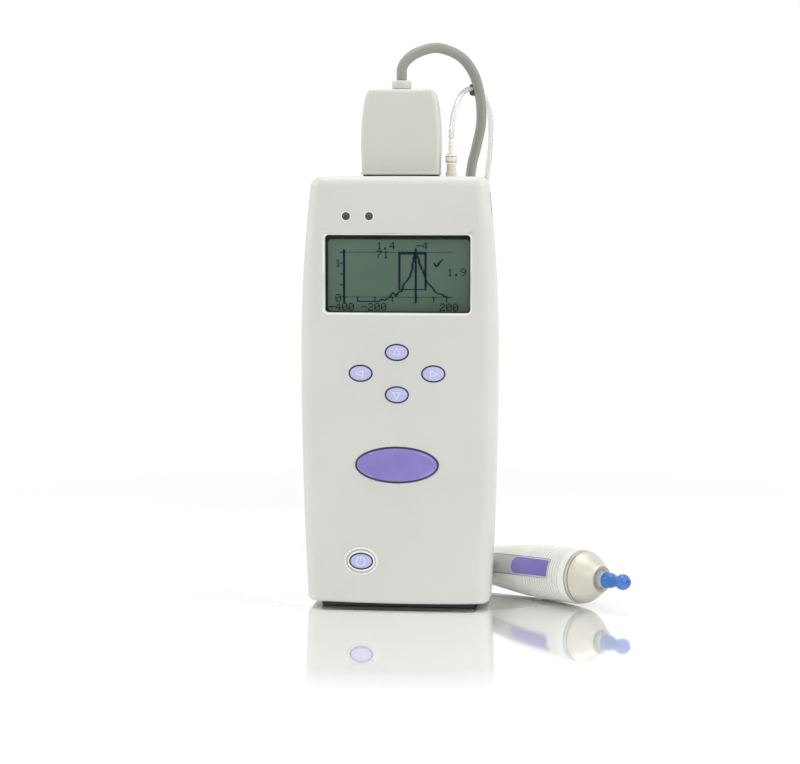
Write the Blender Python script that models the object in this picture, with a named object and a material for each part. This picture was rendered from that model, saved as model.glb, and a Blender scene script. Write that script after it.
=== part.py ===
"""A hand-held tympanometer standing on its base pad, with its plugged-in probe lead and its ear probe
lying beside it.

Metres, +Z up. The origin is the centre of the base pad's underside, the unit's face looks along -Y,
and the probe lies on the same surface. Run it in Blender 4.5.
"""

import math

import bmesh
import bpy
from mathutils import Matrix, Vector

for old_object in list(bpy.data.objects):
    bpy.data.objects.remove(old_object, do_unlink=True)

MM = 0.001

# Gaps and general habits
GAP = 0.3 * MM  # between pieces that touch
CUT_OVERRUN = 3.0 * MM  # how far a cutter reaches past what it cuts
FUSE = 0.4 * MM  # how far a boss sinks into the wall that carries it
ROUND_STEPS = 6  # facets in a quarter turn of a small corner

# Housing of the base unit
UNIT_HEIGHT = 190.0 * MM
UNIT_DEPTH = 40.0 * MM
WAIST_WIDTH = 86.0 * MM
WAIST_HEIGHT = 118.0 * MM
TOP_WIDTH = 78.2 * MM
BOTTOM_WIDTH = 77.4 * MM
WALL = 2.2 * MM
FACE_CROWN = 2.4 * MM
TOP_CROWN = 0.8 * MM
BOTTOM_CROWN = 0.6 * MM
PLAN_CORNER = 6.2 * MM
TOP_EDGE_ROUND = 3.6 * MM
BOTTOM_EDGE_ROUND = 2.6 * MM
PARTING_FROM_FRONT = 21.0 * MM

# Base pad
PAD_WIDTH = 68.0 * MM
PAD_DEPTH = 28.0 * MM
PAD_THICKNESS = 2.0 * MM
PAD_PROUD = 1.5 * MM
PAD_CORNER = 4.0 * MM

# Display
WINDOW_WIDTH = 64.0 * MM
WINDOW_HEIGHT = 34.0 * MM
WINDOW_FROM_TOP = 42.6 * MM
WINDOW_CORNER = 1.6 * MM
WINDOW_FRAME = 2.6 * MM
WINDOW_SEAT_DEPTH = 4.4 * MM
LENS_THICKNESS = 1.2 * MM
MODULE_THICKNESS = 4.6 * MM
MODULE_OVERHANG = 0.6 * MM

# Keys
KEY_WIDTH = 10.2 * MM
KEY_HEIGHT = 7.1 * MM
KEY_PROUD = 0.9 * MM
KEY_DOME = 0.5 * MM
KEY_FLANGE = 0.9 * MM
KEY_FLANGE_THICKNESS = 0.8 * MM
KEY_TRAVEL = 0.7 * MM
KEY_PITCH_ACROSS = 16.0 * MM
KEY_PITCH_UP = 9.3 * MM
KEY_PLACE_SHARE = 0.811
POWER_X = -15.8 * MM
POWER_PLACE_SHARE = 0.157
POWER_RING_WIDTH = 14.7 * MM
POWER_RING_HEIGHT = 12.3 * MM
POWER_RING_PROUD = 0.9 * MM

# Lights, badge plate and infrared window
LED_DIAMETER = 3.6 * MM
LED_FROM_TOP = 17.4 * MM
LED_LEFT_X = -22.4 * MM
LED_RIGHT_X = -12.2 * MM
LED_PROUD = 0.7 * MM
LED_LENGTH = 6.0 * MM
LED_FLANGE = 0.5 * MM
BADGE_WIDTH = 36.7 * MM
BADGE_HEIGHT = 15.8 * MM
BADGE_PLACE_SHARE = 0.492
BADGE_PROUD = 0.9 * MM
BADGE_POCKET = 1.0 * MM
IR_WIDTH = 18.0 * MM
IR_HEIGHT = 10.6 * MM
IR_MIDDLE_Y = 5.0 * MM
IR_FROM_TOP = 12.6 * MM
IR_RECESS = 0.5 * MM
IR_FLANGE = 1.0 * MM
IR_CORNER = 1.0 * MM
CREST_SHARE = 0.84
BADGE_DOME_SHARES = (1.0, 0.96, 0.86, 0.66, 0.36)
LED_DOME_SHARES = (0.3, 0.6, 0.85, 1.0)

# Electronics
BOARD_THICKNESS = 1.6 * MM
BOARD_FROM_FRONT = 12.6 * MM
BOARD_HALF_WIDTH = 35.0 * MM
BOARD_NECK_HALF_WIDTH = 27.0 * MM
BOARD_LOW_Z = 16.6 * MM
BOARD_SHOULDER_FROM_TOP = 23.0 * MM
BOARD_FROM_TOP = 14.4 * MM
CHIP_HEIGHT = 2.0 * MM
CHIP_SHARES = (
    (0.45, 0.62, 0.2, 0.05),
    (0.5, 0.84, 0.26, 0.045),
    (0.2, 0.46, 0.12, 0.03),
    (-0.1, 0.42, 0.08, 0.02),
)
MAT_HALF_WIDTH = 25.0 * MM
MAT_THICKNESS = 0.9 * MM
MAT_MARGIN = 3.4 * MM
MAT_DOME_DIAMETER = 4.6 * MM
MAT_DOME_HEIGHT = 0.8 * MM
POST_DIAMETER = 5.0 * MM
POST_X = 31.0 * MM
POST_LOW_Z = 34.0 * MM
POST_BELOW_WINDOW = 7.8 * MM

# Case screws
SCREW_X = 31.2 * MM
SCREW_LOW_Z = 10.6 * MM
SCREW_FROM_TOP = 15.5 * MM
BOSS_DIAMETER = 6.6 * MM
SCREW_SHANK_DIAMETER = 2.4 * MM
SCREW_HEAD_DIAMETER = 5.0 * MM
SCREW_HEAD_HEIGHT = 1.8 * MM
SCREW_BITE = 10.0 * MM
COUNTERBORE_DEPTH = 8.0 * MM
COUNTERBORE_WALL = 1.0 * MM

# Batteries, their tray and door
CELL_DIAMETER = 14.5 * MM
CELL_LENGTH = 50.5 * MM
CELL_NUB_DIAMETER = 5.5 * MM
CELL_NUB_HEIGHT = 1.0 * MM
CELL_COUNT = 4
CELL_SPACE = 0.4 * MM
TRAY_WALL = 1.5 * MM
TRAY_LOW_Z = 17.6 * MM
CONTACT_THICKNESS = 0.5 * MM
CONTACT_BUMP = 1.5 * MM
DOOR_THICKNESS = 2.0 * MM
DOOR_FOOT_SPACE = 2.4 * MM
DOOR_HEAD_SPACE = 1.6 * MM
DOOR_CORNER = 3.0 * MM
DOOR_HOOK_WIDTH = 8.0 * MM
DOOR_HOOK_DROP = 2.2 * MM
DOOR_HOOK_THICKNESS = 1.0 * MM
DOOR_GRIP_WIDTH = 14.0 * MM
HOOK_PLACE_SHARE = 0.3

# Syringe pump
PUMP_X = -15.0 * MM
PUMP_Y = 7.4 * MM
PUMP_BORE = 12.0 * MM
PUMP_WALL = 1.6 * MM
PUMP_FROM_TOP = 30.0 * MM
PUMP_LENGTH = 23.0 * MM
PUMP_NOZZLE_DIAMETER = 3.4 * MM
PUMP_NOZZLE_LENGTH = 4.0 * MM
PUMP_NOZZLE_BORE = 1.6 * MM
PISTON_LENGTH = 13.0 * MM
PISTON_HEAD = 3.0 * MM
PISTON_GROOVE = 1.0 * MM
PUMP_STROKE = 8.0 * MM
PUMP_SCREW_DIAMETER = 4.0 * MM
PUMP_SCREW_COLLAR = 8.0 * MM
PUMP_COLLAR_HEIGHT = 2.0 * MM
PUMP_STAND_OFF = 15.0 * MM
MOTOR_DIAMETER = 20.0 * MM
MOTOR_HEIGHT = 12.0 * MM
MOTOR_FLANGE = 1.0 * MM
INNER_TUBE_DIAMETER = 2.4 * MM

# Connector panel, socket and air port
PANEL_WIDTH = 60.0 * MM
PANEL_DEPTH = 20.0 * MM
PANEL_CORNER = 2.0 * MM
PANEL_LEDGE = 2.0 * MM
PANEL_LEDGE_THICKNESS = 1.2 * MM
PANEL_DROP_SHARE = 0.1
SOCKET_WIDTH = 30.8 * MM
SOCKET_DEPTH = 12.4 * MM
SOCKET_HEIGHT = 9.0 * MM
D_WIDTH = 18.0 * MM
D_DEPTH = 9.2 * MM
D_TAPER_SHARE = 0.84
D_NICK_SHARE = 0.2
D_SHELL_WALL = 0.8 * MM
D_ENGAGE = 5.0 * MM
PORT_X = 22.0 * MM
PORT_FLANGE_DIAMETER = 4.8 * MM
PORT_FLANGE_HEIGHT = 2.0 * MM
PORT_BARREL_DIAMETER = 4.2 * MM
PORT_BARREL_HEIGHT = 3.7 * MM
PORT_SPIGOT_DIAMETER = 2.4 * MM
PORT_NUT_DIAMETER = 7.0 * MM
PORT_NUT_HEIGHT = 1.6 * MM
LOCK_RING_DIAMETER = 4.8 * MM
LOCK_RING_HEIGHT = 3.2 * MM
BARB_DIAMETER = 2.3 * MM
BARB_HEIGHT = 6.0 * MM
BARB_FLANGE_DIAMETER = 3.8 * MM
BARB_FLANGE_HEIGHT = 0.8 * MM
BARB_RIBS = 3
BARB_REST_SHARE = 0.4
BARB_CREST_SHARE = 1.15

# Plug hood
HOOD_WIDTH = 34.8 * MM
HOOD_THICKNESS = 15.5 * MM
HOOD_HEIGHT = 37.4 * MM
HOOD_WALL = 1.5 * MM
HOOD_EDGE = 1.6 * MM
HOOD_LIFT = 0.6 * MM
HOOD_OUTLINE_SHARES = (
    (0.95, 0.0),
    (0.975, 0.03),
    (1.0, 0.36),
    (0.985, 0.62),
    (0.92, 0.86),
    (0.86, 0.955),
    (0.77, 1.0),
)
GLAND_DIAMETER = 8.5 * MM
GLAND_HEIGHT = 3.6 * MM
GLAND_NECK_DIAMETER = 6.4 * MM
GLAND_FLANGE_THICKNESS = 1.6 * MM
CONNECTOR_FLANGE = 1.0 * MM
CONNECTOR_BLOCK_WIDTH = 20.0 * MM
CONNECTOR_BLOCK_HEIGHT = 9.0 * MM

# Probe, measured along its axis from the tail
PROBE_LENGTH = 103.0 * MM
PROBE_TAIL_RADIUS = 6.5 * MM
PROBE_GRIP_RADIUS = 12.3 * MM
PROBE_WALL = 1.8 * MM
PROBE_TAPER_SHARES = (
    (0.0, 0.0),
    (0.14, 0.08),
    (0.28, 0.19),
    (0.42, 0.38),
    (0.56, 0.655),
    (0.70, 0.9),
    (0.78, 0.98),
    (0.86, 1.0),
    (0.94, 0.99),
    (1.0, 0.965),
)
PROBE_TAIL_X = 5.3 * MM
PROBE_TAIL_Y = 62.0 * MM
PROBE_HEADING = math.radians(-42)
PROBE_PITCH = math.radians(2.2)
PROBE_ROLL = math.radians(19.5)
PROBE_SIDES = 22
PROBE_REST = 0.05 * MM
RIB_COUNT = 10
RIB_HEIGHT = 0.3 * MM
RIB_PITCH = 2.0 * MM
RIB_END_MARGIN = 4.0 * MM
STRIP_START = 12.0 * MM
STRIP_FROM_RING = 8.0 * MM
STRIP_WIDTH = 8.4 * MM
STRIP_THICKNESS = 0.5 * MM
NECK_RADIUS = 9.3 * MM
NECK_LENGTH = 3.4 * MM
NECK_WALL = 1.4 * MM
RING_RADIUS = 11.75 * MM
RING_WIDTH = 1.4 * MM
CONE_RADIUS = 11.5 * MM
CONE_LENGTH = 10.2 * MM
CONE_MOUTH_RADIUS = 5.75 * MM
CONE_HOLE_RADIUS = 4.9 * MM
CONE_SHOULDER = 2.0 * MM
COLLAR_FLANGE_RADIUS = 8.4 * MM
COLLAR_FLANGE_THICKNESS = 1.0 * MM
COLLAR_FOOT_RADIUS = 6.0 * MM
COLLAR_PROUD = 1.4 * MM
STEM_RADIUS = 1.6 * MM
STEM_LENGTH = 7.0 * MM
SOUND_BORE_RADIUS = 0.6 * MM
EAR_TIP_LENGTH = 14.2 * MM
EAR_TIP_FOOT_RADIUS = 3.4 * MM
EAR_TIP_WAIST_RADIUS = 2.5 * MM
EAR_TIP_BULB_RADIUS = 3.5 * MM
EAR_TIP_FOOT_SHARE = 0.3
EAR_TIP_NECK_SHARE = 0.42
EAR_TIP_WAIST_SHARE = 0.5
EAR_TIP_BULB_START = math.radians(-40)
EAR_TIP_BULB_END = math.radians(70)
RECEIVER_LENGTH = 22.0 * MM
RECEIVER_FROM_RING = 7.0 * MM
PROBE_BOARD_START = 12.0 * MM
PROBE_BOARD_THICKNESS = 1.2 * MM
BOOT_LENGTH = 20.0 * MM
BOOT_RADIUS = 5.0 * MM
BOOT_END_RADIUS = 3.4 * MM
BOOT_PLUG_RADIUS = 3.4 * MM
BOOT_FLANGE_RADIUS = 4.4 * MM
BOOT_FLANGE_THICKNESS = 1.6 * MM
TAIL_LIP = 1.6 * MM

# Lead: the probe cable, the clear air tube, their junction and the stored coil
CABLE_DIAMETER = 4.6 * MM
TUBE_DIAMETER = 2.4 * MM
COIL_X = -14.0 * MM
COIL_Y = 138.0 * MM
COIL_OUTER_RADIUS = 30.0 * MM
COIL_TURNS = 3.5
COIL_TURN_STEP = 5.2 * MM
COIL_LAYER_STEP = 5.2 * MM
COIL_POINTS_A_TURN = 24
CLIMB_TURN_SHARE = 0.5
TIE_TURN = 1.25
TIE_WALL = 0.8 * MM
TIE_WIDTH = 6.0 * MM
TIE_SLACK = 0.6 * MM
JUNCTION_FRONT_Y = 108.1 * MM
JUNCTION_LENGTH = 15.0 * MM
JUNCTION_WIDTH = 12.0 * MM
JUNCTION_HEIGHT = 6.6 * MM
JUNCTION_ROUND = 1.6 * MM
CLIP_LOW_CORNER = (28.4 * MM, 20.0 * MM, 226.2 * MM)
CLIP_HIGH_CORNER = (33.8 * MM, 29.4 * MM, 231.2 * MM)

# Routes of the free runs, as places in millimetres chosen by hand
CABLE_ROUTE = (
    (0.0, 0.0, 232.2),
    (0.0, 0.0, 236.8),
    (2.0, 1.2, 240.8),
    (6.8, 4.0, 244.5),
    (15.1, 8.8, 246.7),
    (24.6, 13.8, 243.2),
    (30.5, 17.6, 235.6),
    (33.2, 21.6, 224.9),
    (33.4, 24.8, 214.0),
    (31.0, 27.7, 203.0),
    (28.4, 30.4, 192.0),
    (25.6, 36.4, 165.0),
    (22.4, 45.2, 130.0),
    (19.4, 56.0, 94.0),
    (16.8, 68.0, 59.0),
    (14.8, 80.4, 30.0),
    (13.9, 92.0, 10.0),
    (13.8, 98.4, 4.6),
    (13.8, 103.2, 3.4),
    (13.8, 107.8, 3.4),
)
TUBE_ROUTE = (
    (22.0, 0.0, 206.5),
    (22.0, 0.0, 209.4),
    (22.4, 1.2, 214.6),
    (23.6, 3.8, 220.6),
    (26.0, 11.4, 226.8),
    (29.4, 23.0, 229.4),
    (32.6, 27.8, 227.9),
    (35.4, 30.6, 223.1),
    (37.1, 32.0, 216.0),
    (37.2, 33.4, 206.8),
    (36.7, 34.4, 199.4),
    (35.6, 35.6, 192.0),
    (33.0, 39.6, 170.0),
    (29.6, 47.4, 135.0),
    (26.2, 58.0, 98.0),
    (23.0, 70.0, 62.0),
    (20.4, 82.2, 31.0),
    (19.2, 93.2, 10.4),
    (19.0, 99.6, 4.6),
    (19.0, 104.6, 3.4),
    (19.0, 107.8, 3.4),
)
TAIL_ROUTE = (
    (-44.0, 132.8, 8.6),
    (-44.0, 128.2, 8.6),
    (-43.9, 116.6, 6.4),
    (-40.9, 106.0, 4.0),
    (-34.6, 97.2, 3.2),
    (-27.0, 90.4, 4.5),
    (-19.8, 84.5, 6.7),
    (-13.1, 78.59, 8.19),
    (-9.78, 75.6, 8.36),
)

# Sizes that follow from the ones above
front_y = -UNIT_DEPTH / 2
rear_y = UNIT_DEPTH / 2
parting_y = front_y + PARTING_FROM_FRONT
housing_low = PAD_PROUD
waist_half = WAIST_WIDTH / 2
cable_radius = CABLE_DIAMETER / 2
tube_radius = TUBE_DIAMETER / 2
window_z = UNIT_HEIGHT - WINDOW_FROM_TOP
window_low = window_z - WINDOW_HEIGHT / 2 - WINDOW_FRAME
face_span = window_low - housing_low
key_z = housing_low + face_span * KEY_PLACE_SHARE
power_z = housing_low + face_span * POWER_PLACE_SHARE
badge_z = housing_low + face_span * BADGE_PLACE_SHARE
led_z = UNIT_HEIGHT - LED_FROM_TOP
ir_z = UNIT_HEIGHT - IR_FROM_TOP
screw_high = UNIT_HEIGHT - SCREW_FROM_TOP
board_top = UNIT_HEIGHT - BOARD_FROM_TOP
board_shoulder = UNIT_HEIGHT - BOARD_SHOULDER_FROM_TOP
pump_top = UNIT_HEIGHT - PUMP_FROM_TOP
receiver_end = PROBE_LENGTH - RECEIVER_FROM_RING
receiver_start = receiver_end - RECEIVER_LENGTH
strip_end = PROBE_LENGTH - STRIP_FROM_RING


def linear(channel):
    """One sRGB channel, 0 to 1, as linear light."""
    if channel <= 0.04045:
        return channel / 12.92
    return ((channel + 0.055) / 1.055) ** 2.4


def finish(name, colour, roughness, metallic):
    """A plain material from a hex colour."""
    material = bpy.data.materials.new(f"{name}_finish")
    material.use_nodes = True
    shader = material.node_tree.nodes["Principled BSDF"]
    channels = [linear(int(colour[i : i + 2], 16) / 255) for i in (0, 2, 4)]
    shader.inputs["Base Color"].default_value = (*channels, 1)
    shader.inputs["Roughness"].default_value = roughness
    shader.inputs["Metallic"].default_value = metallic
    material.diffuse_color = (*channels, 1)
    return material


def empty(name, frame):
    """An empty that carries pieces in a frame of their own."""
    holder = bpy.data.objects.new(name, None)
    bpy.context.scene.collection.objects.link(holder)
    holder.matrix_world = frame
    return holder


def mesh_object(name, work, at, parent):
    bmesh.ops.recalc_face_normals(work, faces=work.faces)
    mesh = bpy.data.meshes.new(name)
    work.to_mesh(mesh)
    work.free()
    thing = bpy.data.objects.new(name, mesh)
    bpy.context.scene.collection.objects.link(thing)
    thing.parent = parent
    thing.location = at
    return thing


def piece(name, work, colour, roughness=0.45, metallic=0.0, at=(0, 0, 0), parent=None):
    """Turns finished mesh work into a named piece with its own material."""
    thing = mesh_object(name, work, at, parent)
    thing.data.materials.append(finish(name, colour, roughness, metallic))
    thing.data.shade_smooth()
    thing.data.set_sharp_from_angle(angle=math.radians(30))
    return thing


def tool(name, work, at=(0, 0, 0), parent=None):
    """A shape that only cuts or joins."""
    thing = mesh_object(name, work, at, parent)
    thing.hide_render = True
    thing.display_type = "WIRE"
    return thing


def combine(target, other, operation):
    step = target.modifiers.new(other.name, "BOOLEAN")
    step.operation = operation
    step.solver = "EXACT"
    step.object = other


def cut(target, name, work, at=(0, 0, 0), parent=None):
    combine(target, tool(name, work, at, parent), "DIFFERENCE")


def join(target, name, work, at=(0, 0, 0), parent=None):
    combine(target, tool(name, work, at, parent), "UNION")


# Ways that a flat outline (a, b) and a depth become a place
def on_face(a, b, depth):
    return (a, depth, b)


def on_plan(a, b, depth):
    return (a, b, depth)


def on_side(a, b, depth):
    return (depth, a, b)


def lofted(rings, closed=False):
    """A body through rings of equal count; its ends are flat unless it closes on itself."""
    work = bmesh.new()
    rows = [[work.verts.new(point) for point in ring] for ring in rings]
    pairs = list(zip(rows, rows[1:]))
    if closed:
        pairs.append((rows[-1], rows[0]))
    for low, high in pairs:
        for i in range(len(low)):
            j = (i + 1) % len(low)
            work.faces.new((low[i], low[j], high[j], high[i]))
    if not closed:
        work.faces.new(rows[0][::-1])
        work.faces.new(rows[-1])
    return work


def stacked(layers, facing):
    """A body through (outline, depth) layers."""
    return lofted([[facing(a, b, depth) for a, b in outline] for outline, depth in layers])


def prism(outline, low, high, facing):
    return stacked([(outline, low), (outline, high)], facing)


def ring_prism(outer, inner, low, high, facing):
    """A frame with an open middle."""
    corners = ((outer, low), (outer, high), (inner, high), (inner, low))
    return lofted([[facing(a, b, depth) for a, b in edge] for edge, depth in corners], closed=True)


def turned(profile, sides, closed=False):
    """A profile of (radius, height) spun round Z. Radius 0 makes a pole."""
    work = bmesh.new()
    rows = []
    for radius, height in profile:
        if radius == 0:
            rows.append([work.verts.new((0, 0, height))] * sides)
            continue
        row = []
        for i in range(sides):
            angle = 2 * math.pi * i / sides
            row.append(work.verts.new((radius * math.cos(angle), radius * math.sin(angle), height)))
        rows.append(row)
    pairs = list(zip(rows, rows[1:]))
    if closed:
        pairs.append((rows[-1], rows[0]))
    for low, high in pairs:
        for i in range(sides):
            j = (i + 1) % sides
            corners = []
            for corner in (low[i], low[j], high[j], high[i]):
                if corner not in corners:
                    corners.append(corner)
            if len(corners) > 2:
                work.faces.new(corners)
    return work


def half_turned(profile, sides, start):
    """A closed profile of (radius, height) spun half way round Z from the angle start."""
    rings = []
    for i in range(sides + 1):
        angle = start + math.pi * i / sides
        rings.append([(r * math.cos(angle), r * math.sin(angle), h) for r, h in profile])
    return lofted(rings)


def rounded(width, height, corner, middle=(0, 0), steps=ROUND_STEPS):
    """A rectangle with round corners."""
    points = []
    for quarter, (side_a, side_b) in enumerate(((1, 1), (-1, 1), (-1, -1), (1, -1))):
        centre_a = middle[0] + side_a * (width / 2 - corner)
        centre_b = middle[1] + side_b * (height / 2 - corner)
        for step in range(steps + 1):
            angle = (quarter + step / steps) * math.pi / 2
            points.append((centre_a + corner * math.cos(angle), centre_b + corner * math.sin(angle)))
    return points


def oval(width, height, middle=(0, 0), sides=20):
    points = []
    for i in range(sides):
        angle = 2 * math.pi * i / sides
        points.append((middle[0] + width / 2 * math.cos(angle), middle[1] + height / 2 * math.sin(angle)))
    return points


def box(low, high):
    outline = [(low[0], low[1]), (high[0], low[1]), (high[0], high[1]), (low[0], high[1])]
    return prism(outline, low[2], high[2], on_plan)


def half_width(height):
    """Half the housing's width at a height: a barrel, widest at the waist."""
    if height > WAIST_HEIGHT:
        share = (height - WAIST_HEIGHT) / (UNIT_HEIGHT - WAIST_HEIGHT)
        return (WAIST_WIDTH - (WAIST_WIDTH - TOP_WIDTH) * share**2) / 2
    share = (WAIST_HEIGHT - height) / (WAIST_HEIGHT - housing_low)
    return (WAIST_WIDTH - (WAIST_WIDTH - BOTTOM_WIDTH) * share**2) / 2


def face_y(x):
    """The outer front face, which crowns forward in the middle."""
    return front_y + FACE_CROWN * (x / waist_half) ** 2


def cover_stations(inset):
    """(height, further inset, crown share below, crown share above) from bottom to top."""
    low_round = max(BOTTOM_EDGE_ROUND - inset, GAP)
    top_round = max(TOP_EDGE_ROUND - inset, GAP)
    low = housing_low + inset
    top = UNIT_HEIGHT - inset
    stations = []
    for step in range(4):
        angle = step / 3 * math.pi / 2
        height = low + low_round * (1 - math.cos(angle))
        stations.append((height, low_round * (1 - math.sin(angle)), 1, 0))
    side_low = low + low_round
    side_top = top - top_round
    for step in range(1, 6):
        stations.append((side_low + (side_top - side_low) * step / 6, 0, 0, 0))
    for step in range(5):
        angle = step / 4 * math.pi / 2
        height = side_top + top_round * math.sin(angle)
        stations.append((height, top_round * (1 - math.cos(angle)), 0, 1))
    return stations


def cover_skin(work, inset, outer_y, rim_y, crown):
    """One surface of a half shell. Returns the vertices round its open edge, in order."""
    facing = 1 if outer_y > rim_y else -1
    rows = []
    for height, more, low_share, top_share in cover_stations(inset):
        half = half_width(height) - inset - more
        corner = PLAN_CORNER - inset - more
        depth = abs(outer_y - rim_y) - inset - more
        plan = [(-half, 0)]
        for step in range(5):
            angle = math.pi - step / 4 * math.pi / 2
            place = (-half + corner + corner * math.cos(angle), depth - corner + corner * math.sin(angle))
            plan.append(place)
        for step in range(1, 6):
            plan.append(((half - corner) * (step / 3 - 1), depth))
        plan += [(-x, reach) for x, reach in reversed(plan[:6])]
        row = []
        for x, reach in plan:
            bow = (x / waist_half) ** 2
            y = rim_y + facing * (reach - crown * bow * reach / depth)
            z = height + BOTTOM_CROWN * bow * low_share - TOP_CROWN * bow * top_share
            row.append(Vector((x, y, z)))
        rows.append(row)
    count = len(rows[0])
    grid = [[work.verts.new(point) for point in row] for row in rows]
    for low, high in zip(grid, grid[1:]):
        for i in range(count - 1):
            work.faces.new((low[i], low[i + 1], high[i + 1], high[i]))
    edges = []
    for row in (grid[0], grid[-1]):
        edge = [row[0]]
        for i in range(2, count - 2):
            edge.append(work.verts.new((row[i].co.x, rim_y, row[i].co.z)))
        edge.append(row[-1])
        for i in range(1, count - 2):
            work.faces.new(list(dict.fromkeys((row[i], row[i + 1], edge[i], edge[i - 1]))))
        edges.append(edge)
    left = [row[0] for row in grid]
    right = [row[-1] for row in grid]
    return left + edges[1][1:-1] + right[::-1] + edges[0][1:-1][::-1]


def cover(outer_y, rim_y, crown):
    """A half shell with its wall."""
    work = bmesh.new()
    outside = cover_skin(work, 0, outer_y, rim_y, crown)
    inside = cover_skin(work, WALL, outer_y, rim_y, crown)
    for i in range(len(outside)):
        j = (i + 1) % len(outside)
        work.faces.new((outside[i], outside[j], inside[j], inside[i]))
    return work


def smooth_route(places, spacing):
    """Points at an even spacing on a smooth curve through places given in millimetres.

    The first and the last stretch stay straight.
    """
    knots = [Vector(place) * MM for place in places]
    dense = [knots[1]]
    for before, start, end, after in zip(knots, knots[1:], knots[2:], knots[3:]):
        for step in range(1, 25):
            t = step / 24
            place = 2 * start + (end - before) * t
            place += (2 * before - 5 * start + 4 * end - after) * t**2
            place += (3 * start - before - 3 * end + after) * t**3
            dense.append(place / 2)
    travel = [0]
    for near, far in zip(dense, dense[1:]):
        travel.append(travel[-1] + (far - near).length)
    count = max(2, round(travel[-1] / spacing))
    points = [knots[0]]
    index = 0
    for step in range(count + 1):
        wanted = travel[-1] * step / count
        while index < len(dense) - 2 and travel[index + 1] < wanted:
            index += 1
        part = (wanted - travel[index]) / (travel[index + 1] - travel[index])
        points.append(dense[index].lerp(dense[index + 1], part))
    return points + [knots[-1]]


def cord(name, points, radius, rings, colour, roughness):
    """A round cord along points, closed at both ends."""
    shape = bpy.data.curves.new(name, "CURVE")
    shape.dimensions = "3D"
    shape.bevel_depth = radius
    shape.bevel_resolution = rings
    shape.use_fill_caps = True
    shape.render_resolution_u = 0
    line = shape.splines.new("POLY")
    line.points.add(len(points) - 1)
    for target, point in zip(line.points, points):
        target.co = (*point, 1)
    shape.materials.append(finish(name, colour, roughness, 0.0))
    thing = bpy.data.objects.new(name, shape)
    bpy.context.scene.collection.objects.link(thing)
    return thing


def swept(points, radius, sides=12):
    """Mesh work for a round channel along points."""
    rings = []
    side = Vector((1, 0, 0))
    for i, point in enumerate(points):
        ahead = points[min(i + 1, len(points) - 1)]
        behind = points[max(i - 1, 0)]
        along = (ahead - behind).normalized()
        side = (side - along * side.dot(along)).normalized()
        up = along.cross(side)
        ring = []
        for step in range(sides):
            angle = 2 * math.pi * step / sides
            ring.append(point + side * (radius * math.cos(angle)) + up * (radius * math.sin(angle)))
        rings.append(ring)
    return lofted(rings)


def board_y():
    return front_y + BOARD_FROM_FRONT


def socket_top():
    return panel_ledge_top() - PANEL_LEDGE_THICKNESS - GAP


def panel_ledge_top():
    """The ledge lies under the top wall, whose crown drops towards the panel's ends."""
    reach = PANEL_WIDTH / 2 + PANEL_LEDGE
    return UNIT_HEIGHT - WALL - TOP_CROWN * (reach / waist_half) ** 2 - GAP


def panel_top():
    return UNIT_HEIGHT - TOP_CROWN * (PANEL_WIDTH / 2 / waist_half) ** 2 - TOP_CROWN * PANEL_DROP_SHARE


def d_outline(grow):
    """The nine-way connector's D shape, grown all round."""
    wide = D_WIDTH / 2 + grow
    narrow = D_WIDTH / 2 * D_TAPER_SHARE + grow
    deep = D_DEPTH / 2 + grow
    nick = D_DEPTH * D_NICK_SHARE
    return [
        (wide, deep - nick),
        (wide - nick, deep),
        (-wide + nick, deep),
        (-wide, deep - nick),
        (-narrow, -deep + nick),
        (-narrow + nick, -deep),
        (narrow - nick, -deep),
        (narrow, -deep + nick),
    ]


def cells_width():
    return CELL_COUNT * CELL_DIAMETER + (CELL_COUNT - 1) * CELL_SPACE


def cell_y():
    """The row of cells lies just inside the battery door."""
    return rear_y - DOOR_THICKNESS - GAP - CELL_DIAMETER / 2 - CELL_SPACE


def end_space():
    """Room at each end of a cell for its contact."""
    return GAP + CONTACT_THICKNESS + CONTACT_BUMP + GAP


def tray_height():
    return CELL_LENGTH + 2 * end_space() + 2 * TRAY_WALL


def door_span():
    """The battery door's lower and upper edges."""
    return TRAY_LOW_Z - DOOR_FOOT_SPACE, TRAY_LOW_Z + tray_height() + DOOR_HEAD_SPACE


def door_width():
    return cells_width() + 2 * GAP


def window_seat_y():
    return front_y + WINDOW_SEAT_DEPTH


def inner_face_y(x):
    """Just inside the front wall, clear of it out to x."""
    return face_y(x) + WALL + GAP


KEYS = {
    "key_up": (0, key_z + KEY_PITCH_UP),
    "key_down": (0, key_z - KEY_PITCH_UP),
    "key_left": (-KEY_PITCH_ACROSS, key_z),
    "key_right": (KEY_PITCH_ACROSS, key_z),
    "key_power": (POWER_X, power_z),
}
SCREWS = {
    "case_screw_1": (-SCREW_X, SCREW_LOW_Z),
    "case_screw_2": (SCREW_X, SCREW_LOW_Z),
    "case_screw_3": (-SCREW_X, screw_high),
    "case_screw_4": (SCREW_X, screw_high),
}
LIGHTS = {"led_left": LED_LEFT_X, "led_right": LED_RIGHT_X}


def cut_shared_openings(shell, name):
    """The pad's recess, the connector panel's opening and the infrared window cross both covers."""
    recess = rounded(PAD_WIDTH + 2 * GAP, PAD_DEPTH + 2 * GAP, PAD_CORNER)
    cut(shell, f"{name}_pad_recess", prism(recess, -CUT_OVERRUN, PAD_THICKNESS + GAP, on_plan))
    panel = rounded(PANEL_WIDTH + 2 * GAP, PANEL_DEPTH + 2 * GAP, PANEL_CORNER)
    panel_floor = UNIT_HEIGHT - WALL - TOP_CROWN - CUT_OVERRUN
    cut(shell, f"{name}_panel_opening", prism(panel, panel_floor, UNIT_HEIGHT + CUT_OVERRUN, on_plan))
    window = rounded(IR_WIDTH + 2 * GAP, IR_HEIGHT + 2 * GAP, IR_CORNER, (IR_MIDDLE_Y, ir_z))
    side = half_width(ir_z)
    low_x = side - WALL - IR_FLANGE
    cut(shell, f"{name}_ir_opening", prism(window, low_x, side + CUT_OVERRUN, on_side))


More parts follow.
